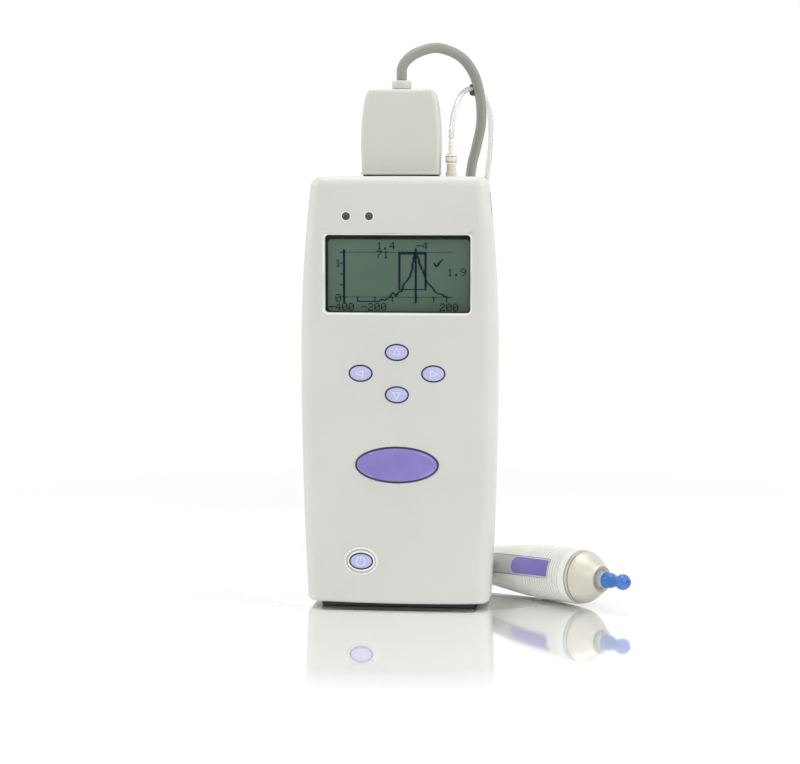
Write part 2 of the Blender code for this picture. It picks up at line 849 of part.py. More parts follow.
def front_cover():
    shell = piece("front_cover", cover(front_y, parting_y - GAP / 2, FACE_CROWN), "D2D3CE", 0.42)
    frame_width = WINDOW_WIDTH + 2 * WINDOW_FRAME
    frame_height = WINDOW_HEIGHT + 2 * WINDOW_FRAME
    frame = rounded(frame_width, frame_height, WINDOW_CORNER + WINDOW_FRAME, (0, window_z), 3)
    frame_start = max(front_y + WALL - FUSE, face_y(frame_width / 2) + FUSE / 2)
    join(shell, "window_frame", prism(frame, frame_start, window_seat_y(), on_face))
    window = rounded(WINDOW_WIDTH, WINDOW_HEIGHT, WINDOW_CORNER, (0, window_z), 3)
    cut(shell, "window", prism(window, front_y - CUT_OVERRUN, window_seat_y() + CUT_OVERRUN, on_face))
    ring_base = face_y(abs(POWER_X) + POWER_RING_WIDTH / 2) + FUSE
    ring_front = face_y(POWER_X) - POWER_RING_PROUD
    middle = (POWER_X, power_z)
    crest_width = POWER_RING_WIDTH - 2 * POWER_RING_PROUD
    crest_height = POWER_RING_HEIGHT - 2 * POWER_RING_PROUD
    ring = [
        (oval(POWER_RING_WIDTH, POWER_RING_HEIGHT, middle), ring_base),
        (oval(POWER_RING_WIDTH, POWER_RING_HEIGHT, middle), face_y(POWER_X) - POWER_RING_PROUD / 3),
        (oval(crest_width, crest_height, middle), ring_front),
    ]
    join(shell, "power_ring", stacked(ring, on_face))
    for key, (x, z) in KEYS.items():
        hole = oval(KEY_WIDTH + 2 * GAP, KEY_HEIGHT + 2 * GAP, (x, z))
        cut(shell, f"{key}_hole", prism(hole, front_y - CUT_OVERRUN, inner_face_y(x) + CUT_OVERRUN, on_face))
    for light, x in LIGHTS.items():
        hole = oval(LED_DIAMETER + 2 * GAP, LED_DIAMETER + 2 * GAP, (x, led_z), 12)
        ends = (front_y - CUT_OVERRUN, inner_face_y(x) + CUT_OVERRUN)
        cut(shell, f"{light}_hole", prism(hole, *ends, on_face))
    badge = oval(BADGE_WIDTH, BADGE_HEIGHT, (0, badge_z), 28)
    cut(shell, "badge_pocket", prism(badge, front_y - CUT_OVERRUN, front_y + BADGE_POCKET, on_face))
    boss_base = face_y(SCREW_X + BOSS_DIAMETER / 2) + FUSE
    boss_end = parting_y - GAP / 2
    for screw, (x, z) in SCREWS.items():
        boss = oval(BOSS_DIAMETER, BOSS_DIAMETER, (x, z), 12)
        join(shell, f"{screw}_boss", prism(boss, boss_base, boss_end, on_face))
        pilot = oval(SCREW_SHANK_DIAMETER + 2 * GAP, SCREW_SHANK_DIAMETER + 2 * GAP, (x, z), 10)
        pilot_end = parting_y - SCREW_BITE - 2 * GAP
        cut(shell, f"{screw}_pilot", prism(pilot, pilot_end, parting_y + CUT_OVERRUN, on_face))
    post_base = face_y(POST_X + POST_DIAMETER / 2) + FUSE
    for x in (-POST_X, POST_X):
        for z in (POST_LOW_Z, window_low - POST_BELOW_WINDOW):
            post = oval(POST_DIAMETER, POST_DIAMETER, (x, z), 10)
            join(shell, "board_post", prism(post, post_base, board_y() - GAP, on_face))
    cut_shared_openings(shell, "front")


def rear_cover():
    shell = piece("rear_cover", cover(rear_y, parting_y + GAP / 2, 0), "D2D3CE", 0.42)
    low, high = door_span()
    middle = (0, (low + high) / 2)
    opening = rounded(door_width() + 2 * GAP, high - low + 2 * GAP, DOOR_CORNER, middle, 3)
    wall_in = rear_y - WALL - CUT_OVERRUN / 2
    cut(shell, "battery_opening", prism(opening, wall_in, rear_y + CUT_OVERRUN, on_face))
    post_radius = SCREW_HEAD_DIAMETER / 2 + GAP + COUNTERBORE_WALL
    for screw, (x, z) in SCREWS.items():
        post = oval(2 * post_radius, 2 * post_radius, (x, z), 12)
        join(shell, f"{screw}_post", prism(post, parting_y + GAP / 2, rear_y - FUSE, on_face))
        bore = oval(SCREW_SHANK_DIAMETER + 2 * GAP, SCREW_SHANK_DIAMETER + 2 * GAP, (x, z), 10)
        cut(shell, f"{screw}_bore", prism(bore, parting_y - CUT_OVERRUN, rear_y + CUT_OVERRUN, on_face))
        head = oval(SCREW_HEAD_DIAMETER + 2 * GAP, SCREW_HEAD_DIAMETER + 2 * GAP, (x, z), 12)
        floor = rear_y - COUNTERBORE_DEPTH
        cut(shell, f"{screw}_counterbore", prism(head, floor, rear_y + CUT_OVERRUN, on_face))
    saddle_face = PUMP_Y + PUMP_BORE / 2 + PUMP_WALL + GAP
    half_saddle = PUMP_BORE / 4
    saddle_low = pump_top - PUMP_LENGTH + PUMP_WALL
    saddle = box(
        (PUMP_X - half_saddle, saddle_face, saddle_low),
        (PUMP_X + half_saddle, rear_y - WALL + FUSE, pump_top - PUMP_WALL),
    )
    join(shell, "pump_saddle", saddle)
    cut_shared_openings(shell, "rear")


def base_pad():
    outline = rounded(PAD_WIDTH, PAD_DEPTH, PAD_CORNER)
    waist = rounded(PAD_WIDTH - 2 * GAP, PAD_DEPTH - 2 * GAP, PAD_CORNER - GAP)
    layers = [(waist, 0), (outline, GAP), (outline, PAD_THICKNESS)]
    piece("base_pad", stacked(layers, on_plan), "212222", 0.75)


def display():
    width = WINDOW_WIDTH + 2 * WINDOW_FRAME
    height = WINDOW_HEIGHT + 2 * WINDOW_FRAME
    middle = (0, window_z)
    lens_y = window_seat_y() + GAP
    lens = rounded(width, height, WINDOW_CORNER, middle, 3)
    piece("lcd_lens", prism(lens, lens_y, lens_y + LENS_THICKNESS, on_face), "8A938A", 0.08)
    module_y = lens_y + LENS_THICKNESS + GAP
    module = rounded(width - 2 * MODULE_OVERHANG, height - 2 * MODULE_OVERHANG, WINDOW_CORNER, middle, 2)
    body = piece("lcd_module", prism(module, module_y, module_y + MODULE_THICKNESS, on_face), "56635A", 0.35)
    foot = rounded(width / 2, height / 3, WINDOW_CORNER, middle, 2)
    foot_base = module_y + MODULE_THICKNESS - FUSE
    join(body, "lcd_foot", prism(foot, foot_base, board_y() - GAP, on_face))


def main_board():
    wide, neck = BOARD_HALF_WIDTH, BOARD_NECK_HALF_WIDTH
    outline = [
        (-wide, BOARD_LOW_Z),
        (wide, BOARD_LOW_Z),
        (wide, board_shoulder),
        (neck, board_shoulder),
        (neck, board_top),
        (-neck, board_top),
        (-neck, board_shoulder),
        (-wide, board_shoulder),
    ]
    rear = board_y() + BOARD_THICKNESS
    board = piece("main_pcb", prism(outline, board_y(), rear, on_face), "2E5B3A", 0.5)
    span = board_shoulder - BOARD_LOW_Z
    for i, (across, up, width, height) in enumerate(CHIP_SHARES):
        x, z = across * wide, BOARD_LOW_Z + up * span
        half_w, half_h = width * wide, height * span
        low = (x - half_w, rear - FUSE, z - half_h)
        high = (x + half_w, rear + CHIP_HEIGHT, z + half_h)
        join(board, f"chip_{i + 1}", box(low, high))


def keypad():
    low = power_z - KEY_HEIGHT / 2 - MAT_MARGIN
    high = key_z + KEY_PITCH_UP + KEY_HEIGHT / 2 + MAT_MARGIN
    front = board_y() - GAP - MAT_THICKNESS
    sheet = rounded(2 * MAT_HALF_WIDTH, high - low, MAT_MARGIN, (0, (low + high) / 2), 3)
    mat = piece("keypad_mat", prism(sheet, front, board_y() - GAP, on_face), "8F938C", 0.8)
    dome_front = front - MAT_DOME_HEIGHT
    stem_end = dome_front - KEY_TRAVEL - GAP
    for key, (x, z) in KEYS.items():
        base = oval(MAT_DOME_DIAMETER, MAT_DOME_DIAMETER, (0, 0), 12)
        crest = oval(MAT_DOME_DIAMETER * CREST_SHARE, MAT_DOME_DIAMETER * CREST_SHARE, (0, 0), 12)
        dome = stacked([(base, front + FUSE), (base, front), (crest, dome_front)], on_face)
        join(mat, f"{key}_dome", dome, (x, 0, z))
        face = face_y(x)
        outer = oval(KEY_WIDTH, KEY_HEIGHT)
        shoulder = oval(KEY_WIDTH - KEY_DOME, KEY_HEIGHT - KEY_DOME)
        cap = oval(KEY_WIDTH * CREST_SHARE, KEY_HEIGHT * CREST_SHARE)
        flange = oval(KEY_WIDTH + 2 * KEY_FLANGE, KEY_HEIGHT + 2 * KEY_FLANGE)
        stem = oval(MAT_DOME_DIAMETER, MAT_DOME_DIAMETER)
        flange_front = inner_face_y(abs(x) + KEY_WIDTH / 2 + KEY_FLANGE)
        flange_rear = flange_front + KEY_FLANGE_THICKNESS
        layers = [
            (cap, face - KEY_PROUD),
            (shoulder, face - KEY_PROUD + KEY_DOME / 2),
            (outer, face - KEY_PROUD + KEY_DOME),
            (outer, flange_front),
            (flange, flange_front),
            (flange, flange_rear),
            (stem, flange_rear),
            (stem, stem_end),
        ]
        piece(key, stacked(layers, on_face), "B9BAE6", 0.5, at=(x, 0, z))


def lights():
    for light, x in LIGHTS.items():
        face = face_y(x)
        flange_front = inner_face_y(abs(x) + LED_DIAMETER / 2 + LED_FLANGE)
        layers = []
        for share in LED_DOME_SHARES:
            across = LED_DIAMETER * share
            layers.append((oval(across, across, sides=12), face - LED_PROUD * math.sqrt(1 - share**2)))
        body = oval(LED_DIAMETER, LED_DIAMETER, sides=12)
        rim = oval(LED_DIAMETER + 2 * LED_FLANGE, LED_DIAMETER + 2 * LED_FLANGE, sides=12)
        layers += [(body, flange_front), (rim, flange_front), (rim, face + LED_LENGTH)]
        piece(light, stacked(layers, on_face), "40413A", 0.2, at=(x, 0, led_z))


def badge():
    floor = front_y + BADGE_POCKET - GAP
    layers = [(oval(BADGE_WIDTH - 2 * GAP, BADGE_HEIGHT - 2 * GAP, sides=28), floor)]
    for share in BADGE_DOME_SHARES:
        bulge = math.sqrt(1 - share**2)
        width, height = (BADGE_WIDTH - 2 * GAP) * share, (BADGE_HEIGHT - 2 * GAP) * share
        layers.append((oval(width, height, sides=28), front_y - BADGE_PROUD * bulge))
    piece("badge_plate", stacked(layers, on_face), "8C7DC9", 0.3, at=(0, 0, badge_z))


def infrared_window():
    middle = (IR_MIDDLE_Y, ir_z)
    high_edge = ir_z + IR_HEIGHT / 2
    outer_x = half_width(high_edge) - IR_RECESS
    flange_x = half_width(high_edge + IR_FLANGE) - WALL - GAP
    window = rounded(IR_WIDTH, IR_HEIGHT, IR_CORNER, middle, 3)
    flange = rounded(IR_WIDTH + 2 * IR_FLANGE, IR_HEIGHT + 2 * IR_FLANGE, IR_CORNER, middle, 3)
    layers = [(flange, flange_x - IR_FLANGE), (flange, flange_x), (window, flange_x), (window, outer_x)]
    piece("ir_window", stacked(layers, on_side), "A7A99E", 0.2)


def case_screws():
    floor = rear_y - COUNTERBORE_DEPTH + GAP
    shank = oval(SCREW_SHANK_DIAMETER, SCREW_SHANK_DIAMETER, sides=12)
    point = oval(SCREW_SHANK_DIAMETER / 2, SCREW_SHANK_DIAMETER / 2, sides=12)
    head = oval(SCREW_HEAD_DIAMETER, SCREW_HEAD_DIAMETER, sides=12)
    crown = oval(SCREW_HEAD_DIAMETER * CREST_SHARE, SCREW_HEAD_DIAMETER * CREST_SHARE, sides=12)
    tip = parting_y - SCREW_BITE
    layers = [
        (point, tip),
        (shank, tip + SCREW_SHANK_DIAMETER / 2),
        (shank, floor),
        (head, floor),
        (head, floor + SCREW_HEAD_HEIGHT / 2),
        (crown, floor + SCREW_HEAD_HEIGHT),
    ]
    for screw, (x, z) in SCREWS.items():
        piece(screw, stacked(layers, on_face), "9A9C9E", 0.35, 1.0, at=(x, 0, z))


def battery_bay():
    width, height = cells_width() + 2 * GAP, CELL_LENGTH + 2 * end_space()
    middle = (0, TRAY_LOW_Z + tray_height() / 2)
    floor_in = cell_y() - CELL_DIAMETER / 2 - GAP
    rim = rear_y - WALL - GAP
    outer = rounded(width + 2 * TRAY_WALL, height + 2 * TRAY_WALL, TRAY_WALL, middle, 2)
    inner = rounded(width, height, GAP, middle, 2)
    tray = piece("battery_tray", prism(outer, floor_in - TRAY_WALL, rim, on_face), "2B2C2D", 0.6)
    cut(tray, "tray_hollow", prism(inner, floor_in, rim + CUT_OVERRUN, on_face))
    for side in (-1, 1):
        x = side * door_width() * HOOK_PLACE_SHARE
        half = DOOR_HOOK_WIDTH / 2 + DOOR_HOOK_THICKNESS
        low = (x - half, rim - 2 * DOOR_HOOK_THICKNESS, TRAY_LOW_Z - CUT_OVERRUN)
        high = (x + half, rim + CUT_OVERRUN, TRAY_LOW_Z + TRAY_WALL + GAP)
        cut(tray, "hook_notch", box(low, high))
    low_end = TRAY_LOW_Z + TRAY_WALL + GAP
    high_end = TRAY_LOW_Z + tray_height() - TRAY_WALL - GAP
    strip_half = cells_width() / 2 - GAP
    strip_front = cell_y() - CELL_DIAMETER / 3
    strip_rear = cell_y() + CELL_DIAMETER / 3
    for name, base, up in (("contact_plate_lower", low_end, 1), ("contact_plate_upper", high_end, -1)):
        far = base + up * CONTACT_THICKNESS
        plate = box((-strip_half, strip_front, min(base, far)), (strip_half, strip_rear, max(base, far)))
        contact = piece(name, plate, "B9A878", 0.35, 1.0)
        for i in range(CELL_COUNT):
            wide = oval(CELL_DIAMETER / 2, CELL_DIAMETER / 2, sides=10)
            slim = oval(CELL_DIAMETER / 4, CELL_DIAMETER / 4, sides=10)
            layers = [(wide, base + up * CONTACT_THICKNESS / 2), (slim, far + up * CONTACT_BUMP)]
            if up < 0:
                layers.reverse()
            join(contact, f"{name}_bump", stacked(layers, on_plan), (cell_x(i), cell_y(), 0))
    radius = CELL_DIAMETER / 2
    nub = CELL_NUB_DIAMETER / 2
    body_top = CELL_LENGTH - CELL_NUB_HEIGHT
    edge = CELL_NUB_HEIGHT / 2
    profile = [
        (0, 0),
        (radius - edge, 0),
        (radius, edge),
        (radius, body_top - edge),
        (radius - edge, body_top),
        (nub, body_top),
        (nub, CELL_LENGTH),
        (0, CELL_LENGTH),
    ]
    for i in range(CELL_COUNT):
        cell_base = low_end + CONTACT_THICKNESS + CONTACT_BUMP + GAP
        if i % 2:
            spun = [(r, CELL_LENGTH - h) for r, h in profile]
        else:
            spun = profile
        piece(f"aa_cell_{i + 1}", turned(spun, 16), "B7BCC0", 0.3, 0.6, at=(cell_x(i), cell_y(), cell_base))


def cell_x(index):
    return (index - (CELL_COUNT - 1) / 2) * (CELL_DIAMETER + CELL_SPACE)


def battery_door():
    low, high = door_span()
    axis = (0, rear_y, low)
    plate = rounded(door_width(), high - low, DOOR_CORNER, (0, (high - low) / 2), 3)
    door = piece("battery_door", prism(plate, -DOOR_THICKNESS, 0, on_face), "D2D3CE", 0.45, at=axis)
    hook_rear = -WALL - GAP
    hook_front = hook_rear - DOOR_HOOK_THICKNESS
    for side in (-1, 1):
        x = side * door_width() * HOOK_PLACE_SHARE
        half = DOOR_HOOK_WIDTH / 2
        root = DOOR_HOOK_THICKNESS
        hook = box((x - half, hook_front, -DOOR_HOOK_DROP), (x + half, hook_rear, root))
        join(door, "hook", hook, axis)
        web = box((x - half, hook_rear - FUSE, 0), (x + half, -DOOR_THICKNESS + FUSE, root))
        join(door, "hook_web", web, axis)
    for i in range(3):
        z = high - low - DOOR_HEAD_SPACE * (2 + 2 * i)
        half = DOOR_GRIP_WIDTH / 2
        rib = box((-half, -FUSE, z - FUSE), (half, FUSE, z + FUSE))
        join(door, "grip_rib", rib, axis)


def pump():
    radius = PUMP_BORE / 2
    outer = radius + PUMP_WALL
    nozzle = PUMP_NOZZLE_DIAMETER / 2
    bore = PUMP_NOZZLE_BORE / 2
    low = pump_top - PUMP_LENGTH
    ceiling = pump_top - PUMP_WALL
    barrel = [
        (outer, low),
        (outer, pump_top),
        (nozzle, pump_top),
        (nozzle, pump_top + PUMP_NOZZLE_LENGTH),
        (bore, pump_top + PUMP_NOZZLE_LENGTH),
        (bore, ceiling),
        (radius, ceiling),
        (radius, low),
    ]
    at = (PUMP_X, PUMP_Y, 0)
    piece("pump_cylinder", turned(barrel, 18, closed=True), "C9CBC6", 0.3, at=at)
    piston_top = ceiling - GAP - PUMP_STROKE
    piston_low = piston_top - PISTON_LENGTH
    slide = radius - GAP
    waist = slide - PISTON_GROOVE
    well = PUMP_SCREW_DIAMETER / 2 + GAP
    piston = [
        (0, piston_top),
        (slide, piston_top),
        (slide, piston_top - PISTON_HEAD),
        (waist, piston_top - PISTON_HEAD),
        (waist, piston_top - PISTON_HEAD - PISTON_GROOVE),
        (slide, piston_top - PISTON_HEAD - PISTON_GROOVE),
        (slide, piston_low),
        (well, piston_low),
        (well, piston_top - PISTON_HEAD),
        (0, piston_top - PISTON_HEAD),
    ]
    piece("pump_piston", turned(piston, 18), "3A3B3C", 0.5, at=at)
    screw_top = piston_top - PISTON_HEAD - GAP
    motor_top = low - PUMP_STAND_OFF
    screw = PUMP_SCREW_DIAMETER / 2
    collar_top = motor_top + GAP + PUMP_COLLAR_HEIGHT
    spindle = [
        (0, motor_top + GAP),
        (PUMP_SCREW_COLLAR / 2, motor_top + GAP),
        (PUMP_SCREW_COLLAR / 2, collar_top),
        (screw, collar_top),
        (screw, screw_top),
        (0, screw_top),
    ]
    piece("pump_screw", turned(spindle, 12), "A8AAAC", 0.25, 1.0, at=at)
    can = MOTOR_DIAMETER / 2
    body = [
        (0, motor_top - MOTOR_HEIGHT),
        (can - MOTOR_FLANGE, motor_top - MOTOR_HEIGHT),
        (can, motor_top - MOTOR_HEIGHT + MOTOR_FLANGE),
        (can, motor_top),
        (0, motor_top),
    ]
    piece("pump_motor", turned(body, 24), "8E9193", 0.35, 1.0, at=at)
    start_z = pump_top + PUMP_NOZZLE_LENGTH + GAP
    end_z = panel_ledge_top() - PANEL_LEDGE_THICKNESS - GAP - PORT_NUT_HEIGHT - GAP
    rise = socket_top() - SOCKET_HEIGHT - INNER_TUBE_DIAMETER
    behind = SOCKET_DEPTH / 2 + INNER_TUBE_DIAMETER
    places = [
        (PUMP_X, PUMP_Y, start_z),
        (PUMP_X, PUMP_Y, start_z + INNER_TUBE_DIAMETER),
        (PUMP_X / 2, behind, rise - INNER_TUBE_DIAMETER),
        (PORT_X / 2, behind, rise - INNER_TUBE_DIAMETER),
        (PORT_X, PUMP_Y / 2, rise),
        (PORT_X, 0, end_z - INNER_TUBE_DIAMETER),
        (PORT_X, 0, end_z),
    ]
    route = smooth_route([Vector(place) / MM for place in places], 2 * INNER_TUBE_DIAMETER)
    cord("inner_air_tube", route, INNER_TUBE_DIAMETER / 2, 2, "D8DAD6", 0.3)


def connector_panel():
    top = panel_top()
    ledge = rounded(PANEL_WIDTH + 2 * PANEL_LEDGE, PANEL_DEPTH + 2 * PANEL_LEDGE, PANEL_CORNER)
    plate = rounded(PANEL_WIDTH, PANEL_DEPTH, PANEL_CORNER)
    ledge_top = panel_ledge_top()
    ledge_low = ledge_top - PANEL_LEDGE_THICKNESS
    layers = [(ledge, ledge_low), (ledge, ledge_top), (plate, ledge_top), (plate, top)]
    panel = piece("top_panel", stacked(layers, on_plan), "C8C9C3", 0.45)
    slot = d_outline(D_SHELL_WALL + GAP)
    cut(panel, "socket_slot", prism(slot, ledge_low - CUT_OVERRUN, top + CUT_OVERRUN, on_plan))
    hole = oval(PORT_FLANGE_DIAMETER + 2 * GAP, PORT_FLANGE_DIAMETER + 2 * GAP, (PORT_X, 0), 20)
    cut(panel, "port_hole", prism(hole, ledge_low - CUT_OVERRUN, top + CUT_OVERRUN, on_plan))
    block = rounded(SOCKET_WIDTH, SOCKET_DEPTH, PANEL_CORNER, steps=2)
    high = socket_top()
    socket = piece("dsub_socket", prism(block, high - SOCKET_HEIGHT, high, on_plan), "2A2B2C", 0.4)
    groove = ring_prism(
        d_outline(D_SHELL_WALL + GAP), d_outline(-GAP), high - D_ENGAGE - GAP, high + CUT_OVERRUN, on_plan
    )
    cut(socket, "shell_groove", groove)


def air_port():
    base = panel_top() + GAP
    flange, barrel = PORT_FLANGE_DIAMETER / 2, PORT_BARREL_DIAMETER / 2
    spigot, nut = PORT_SPIGOT_DIAMETER / 2, PORT_NUT_DIAMETER / 2
    nut_top = panel_ledge_top() - PANEL_LEDGE_THICKNESS - GAP
    flange_top = base + PORT_FLANGE_HEIGHT
    barrel_top = flange_top + PORT_BARREL_HEIGHT
    ring_top = barrel_top + GAP + LOCK_RING_HEIGHT
    port = [
        (0, nut_top - PORT_NUT_HEIGHT),
        (nut, nut_top - PORT_NUT_HEIGHT),
        (nut, nut_top),
        (flange, nut_top),
        (flange, flange_top),
        (barrel, flange_top + PORT_FLANGE_HEIGHT / 4),
        (barrel, barrel_top),
        (spigot, barrel_top),
        (spigot, ring_top - GAP),
        (0, ring_top - GAP),
    ]
    at = (PORT_X, 0, 0)
    piece("luer_port", turned(port, 16), "E3DEC9", 0.3, at=at)
    ring = LOCK_RING_DIAMETER / 2
    low, hole = barrel_top + GAP, spigot + GAP
    edge = LOCK_RING_HEIGHT / 8
    profile = [(ring, low), (ring, ring_top - edge), (ring - edge, ring_top), (hole, ring_top), (hole, low)]
    piece("luer_lock_ring", turned(profile, 18, closed=True), "FDFAEC", 0.35, at=at)
    foot = ring_top + GAP
    rim, barb = BARB_FLANGE_DIAMETER / 2, BARB_DIAMETER / 2
    rib = BARB_HEIGHT / BARB_RIBS
    profile = [(0, foot), (rim, foot), (rim, foot + BARB_FLANGE_HEIGHT)]
    for i in range(BARB_RIBS):
        rib_low = foot + BARB_FLANGE_HEIGHT + i * rib
        profile.append((barb * CREST_SHARE, rib_low))
        profile.append((barb * CREST_SHARE, rib_low + rib * BARB_REST_SHARE))
        profile.append((barb * BARB_CREST_SHARE, rib_low + rib * BARB_REST_SHARE))
    top = foot + BARB_FLANGE_HEIGHT + BARB_HEIGHT
    profile += [(barb * CREST_SHARE, top), (0, top)]
    piece("luer_barb", turned(profile, 12), "F1F0E6", 0.35, at=at)


def hood_outline(inset):
    """The hood's front outline, drawn in all round by the inset; its foot stays where it is."""
    base = UNIT_HEIGHT + HOOD_LIFT
    half = HOOD_WIDTH / 2
    right = []
    for across, up in HOOD_OUTLINE_SHARES:
        right.append((half * across - inset, base + (HOOD_HEIGHT - inset) * up))
    return right + [(-x, z) for x, z in reversed(right)]


def hood():
    base = UNIT_HEIGHT + HOOD_LIFT
    top = base + HOOD_HEIGHT
    reach = HOOD_THICKNESS / 2
    neck = GLAND_NECK_DIAMETER / 2 + GAP
    for name, side in (("hood_front", -1), ("hood_rear", 1)):
        seam = side * GAP / 2
        layers = [(hood_outline(0), seam)]
        for step in range(4):
            angle = step / 3 * math.pi / 2
            inset = HOOD_EDGE * (1 - math.cos(angle))
            layers.append((hood_outline(inset), side * (reach - HOOD_EDGE + HOOD_EDGE * math.sin(angle))))
        half = piece(name, stacked(layers, on_face), "CDCEC7", 0.45)
        hollow = [(x, z - CUT_OVERRUN if z < base + GAP else z) for x, z in hood_outline(HOOD_WALL)]
        ends = (-side * CUT_OVERRUN, side * (reach - HOOD_WALL))
        cut(half, f"{name}_hollow", prism(hollow, *ends, on_face))
        hole = oval(2 * neck, 2 * neck, sides=20)
        cut(half, f"{name}_neck", prism(hole, top - HOOD_WALL - CUT_OVERRUN, top + CUT_OVERRUN, on_plan))
    inside = top - HOOD_WALL - GAP
    flange = GLAND_DIAMETER / 2
    stem = GLAND_NECK_DIAMETER / 2
    collar = top + GAP
    edge = GLAND_HEIGHT / 8
    gland = [
        (0, inside - GLAND_FLANGE_THICKNESS),
        (flange, inside - GLAND_FLANGE_THICKNESS),
        (flange, inside),
        (stem, inside),
        (stem, collar),
        (flange, collar),
        (flange, collar + GLAND_HEIGHT - edge),
        (flange - edge, collar + GLAND_HEIGHT),
        (0, collar + GLAND_HEIGHT),
    ]
    piece("hood_gland", turned(gland, 18), "CECFC6", 0.5)
    foot = base + GAP
    width = 2 * (HOOD_WIDTH / 2 * HOOD_OUTLINE_SHARES[0][0] - HOOD_WALL - GAP)
    depth = 2 * (reach - HOOD_WALL - GAP)
    plate = rounded(width, depth, GAP, steps=2)
    block = rounded(CONNECTOR_BLOCK_WIDTH, depth - 4 * GAP, GAP, steps=2)
    shoulder = foot + CONNECTOR_FLANGE
    layers = [(plate, foot), (plate, shoulder), (block, shoulder), (block, shoulder + CONNECTOR_BLOCK_HEIGHT)]
    connector = piece("plug_connector", stacked(layers, on_plan), "A9ABA8", 0.35, 1.0)
    shell_low = socket_top() - D_ENGAGE
    shell = ring_prism(d_outline(D_SHELL_WALL), d_outline(0), shell_low, foot + FUSE, on_plan)
    join(connector, "plug_shell", shell)


def probe_radius(along):
    """The grip's radius at a distance from the tail."""
    share = min(max(along / PROBE_LENGTH, 0), 1)
    for (near, low), (far, high) in zip(PROBE_TAPER_SHARES, PROBE_TAPER_SHARES[1:]):
        if share <= far:
            rise = low + (high - low) * (share - near) / (far - near)
            break
    return PROBE_TAIL_RADIUS + (PROBE_GRIP_RADIUS - PROBE_TAIL_RADIUS) * rise


def probe_frame():
    """Local Z runs along the probe towards its tip, local X out through the label strip."""
    level = Vector((math.cos(PROBE_HEADING), math.sin(PROBE_HEADING), 0))
    along = level * math.cos(PROBE_PITCH) + Vector((0, 0, 1)) * math.sin(PROBE_PITCH)
    side = Vector((0, 0, -1)).cross(level)
    over = side.cross(along)
    label = side * math.cos(PROBE_ROLL) + over * math.sin(PROBE_ROLL)
    across = along.cross(label)
    lift = 0
    for share, _ in PROBE_TAPER_SHARES:
        at = share * PROBE_LENGTH
        lift = max(lift, probe_radius(at) * math.cos(PROBE_PITCH) - at * math.sin(PROBE_PITCH))
    frame = Matrix((label, across, along)).transposed().to_4x4()
    frame.translation = Vector((PROBE_TAIL_X, PROBE_TAIL_Y, lift + PROBE_REST))
    return frame


def strip_work(grow, top):
    """A band along the grip, grown by a clearance, from just under the surface out to top."""
    rings = []
    count = 8
    start, end = STRIP_START - grow, strip_end + grow
    for i in range(count + 1):
        along = start + (end - start) * i / count
        low = probe_radius(along) - STRIP_THICKNESS - grow
        high = probe_radius(along) + top
        reach = (STRIP_WIDTH / 2 + grow) / probe_radius(along)
        angles = [reach * (step / 3 - 1) for step in range(7)]
        ring = [(low * math.cos(a), low * math.sin(a), along) for a in angles]
        ring += [(high * math.cos(a), high * math.sin(a), along) for a in reversed(angles)]
        rings.append(ring)
    return lofted(rings)


def grip_profile():
    """The half shell's closed section: outside, open front with its neck, then the inside."""
    edge = TAIL_LIP / 2
    hole = BOOT_PLUG_RADIUS + GAP
    front = PROBE_LENGTH - RING_WIDTH / 2 - GAP
    rib_end = front - RIB_END_MARGIN
    rib_start = rib_end - RIB_COUNT * RIB_PITCH
    outside = [(hole, 0), (PROBE_TAIL_RADIUS - edge, 0), (probe_radius(edge), edge)]
    for share, _ in PROBE_TAPER_SHARES[1:]:
        if share * PROBE_LENGTH < rib_start - RIB_PITCH:
            outside.append((probe_radius(share * PROBE_LENGTH), share * PROBE_LENGTH))
    for i in range(RIB_COUNT):
        at = rib_start + i * RIB_PITCH
        outside.append((probe_radius(at), at))
        outside.append((probe_radius(at) - RIB_HEIGHT, at + RIB_PITCH / 2))
    outside.append((probe_radius(rib_end), rib_end))
    outside += [(probe_radius(front), front), (NECK_RADIUS, front), (NECK_RADIUS, front + NECK_LENGTH)]
    neck_inner = NECK_RADIUS - NECK_WALL
    shelf = receiver_end + GAP
    inside = [(neck_inner, front + NECK_LENGTH), (neck_inner, shelf)]
    inside.append((probe_radius(shelf) - PROBE_WALL, shelf))
    for share, _ in reversed(PROBE_TAPER_SHARES[1:-1]):
        at = share * PROBE_LENGTH
        if TAIL_LIP < at < receiver_end:
            inside.append((probe_radius(at) - PROBE_WALL, at))
    inside += [(probe_radius(TAIL_LIP) - PROBE_WALL, TAIL_LIP), (hole, TAIL_LIP)]
    return outside + inside


def probe_body():
    frame = probe_frame()
    axis = empty("probe_axis", frame)
    profile = grip_profile()
    strip = strip_work(0, 0)
    for name, start in (("probe_label_shell", -math.pi / 2), ("probe_back_shell", math.pi / 2)):
        middle = start + math.pi / 2
        apart = (GAP / 2 * math.cos(middle), GAP / 2 * math.sin(middle), 0)
        half = half_turned(profile, PROBE_SIDES // 2, start)
        shell = piece(name, half, "EEEFE9", 0.4, at=apart, parent=axis)
        if start < 0:
            cut(shell, "strip_pocket", strip_work(GAP, CUT_OVERRUN), parent=axis)
    piece("probe_label_strip", strip, "BDBEBD", 0.35, parent=axis)
    inner = probe_radius(receiver_start) - PROBE_WALL - GAP
    edge = PROBE_WALL / 2
    block = [
        (0, receiver_start),
        (inner - edge, receiver_start),
        (inner, receiver_start + edge),
        (inner, receiver_end),
        (0, receiver_end),
    ]
    piece("probe_receiver", turned(block, 18), "6F7270", 0.4, parent=axis)
    half_board = probe_radius(PROBE_BOARD_START) - PROBE_WALL - 2 * GAP
    half_thick = PROBE_BOARD_THICKNESS / 2
    board = box((-half_thick, -half_board, PROBE_BOARD_START), (half_thick, half_board, receiver_start - GAP))
    piece("probe_pcb", board, "2E5B3A", 0.5, parent=axis)
    boot()


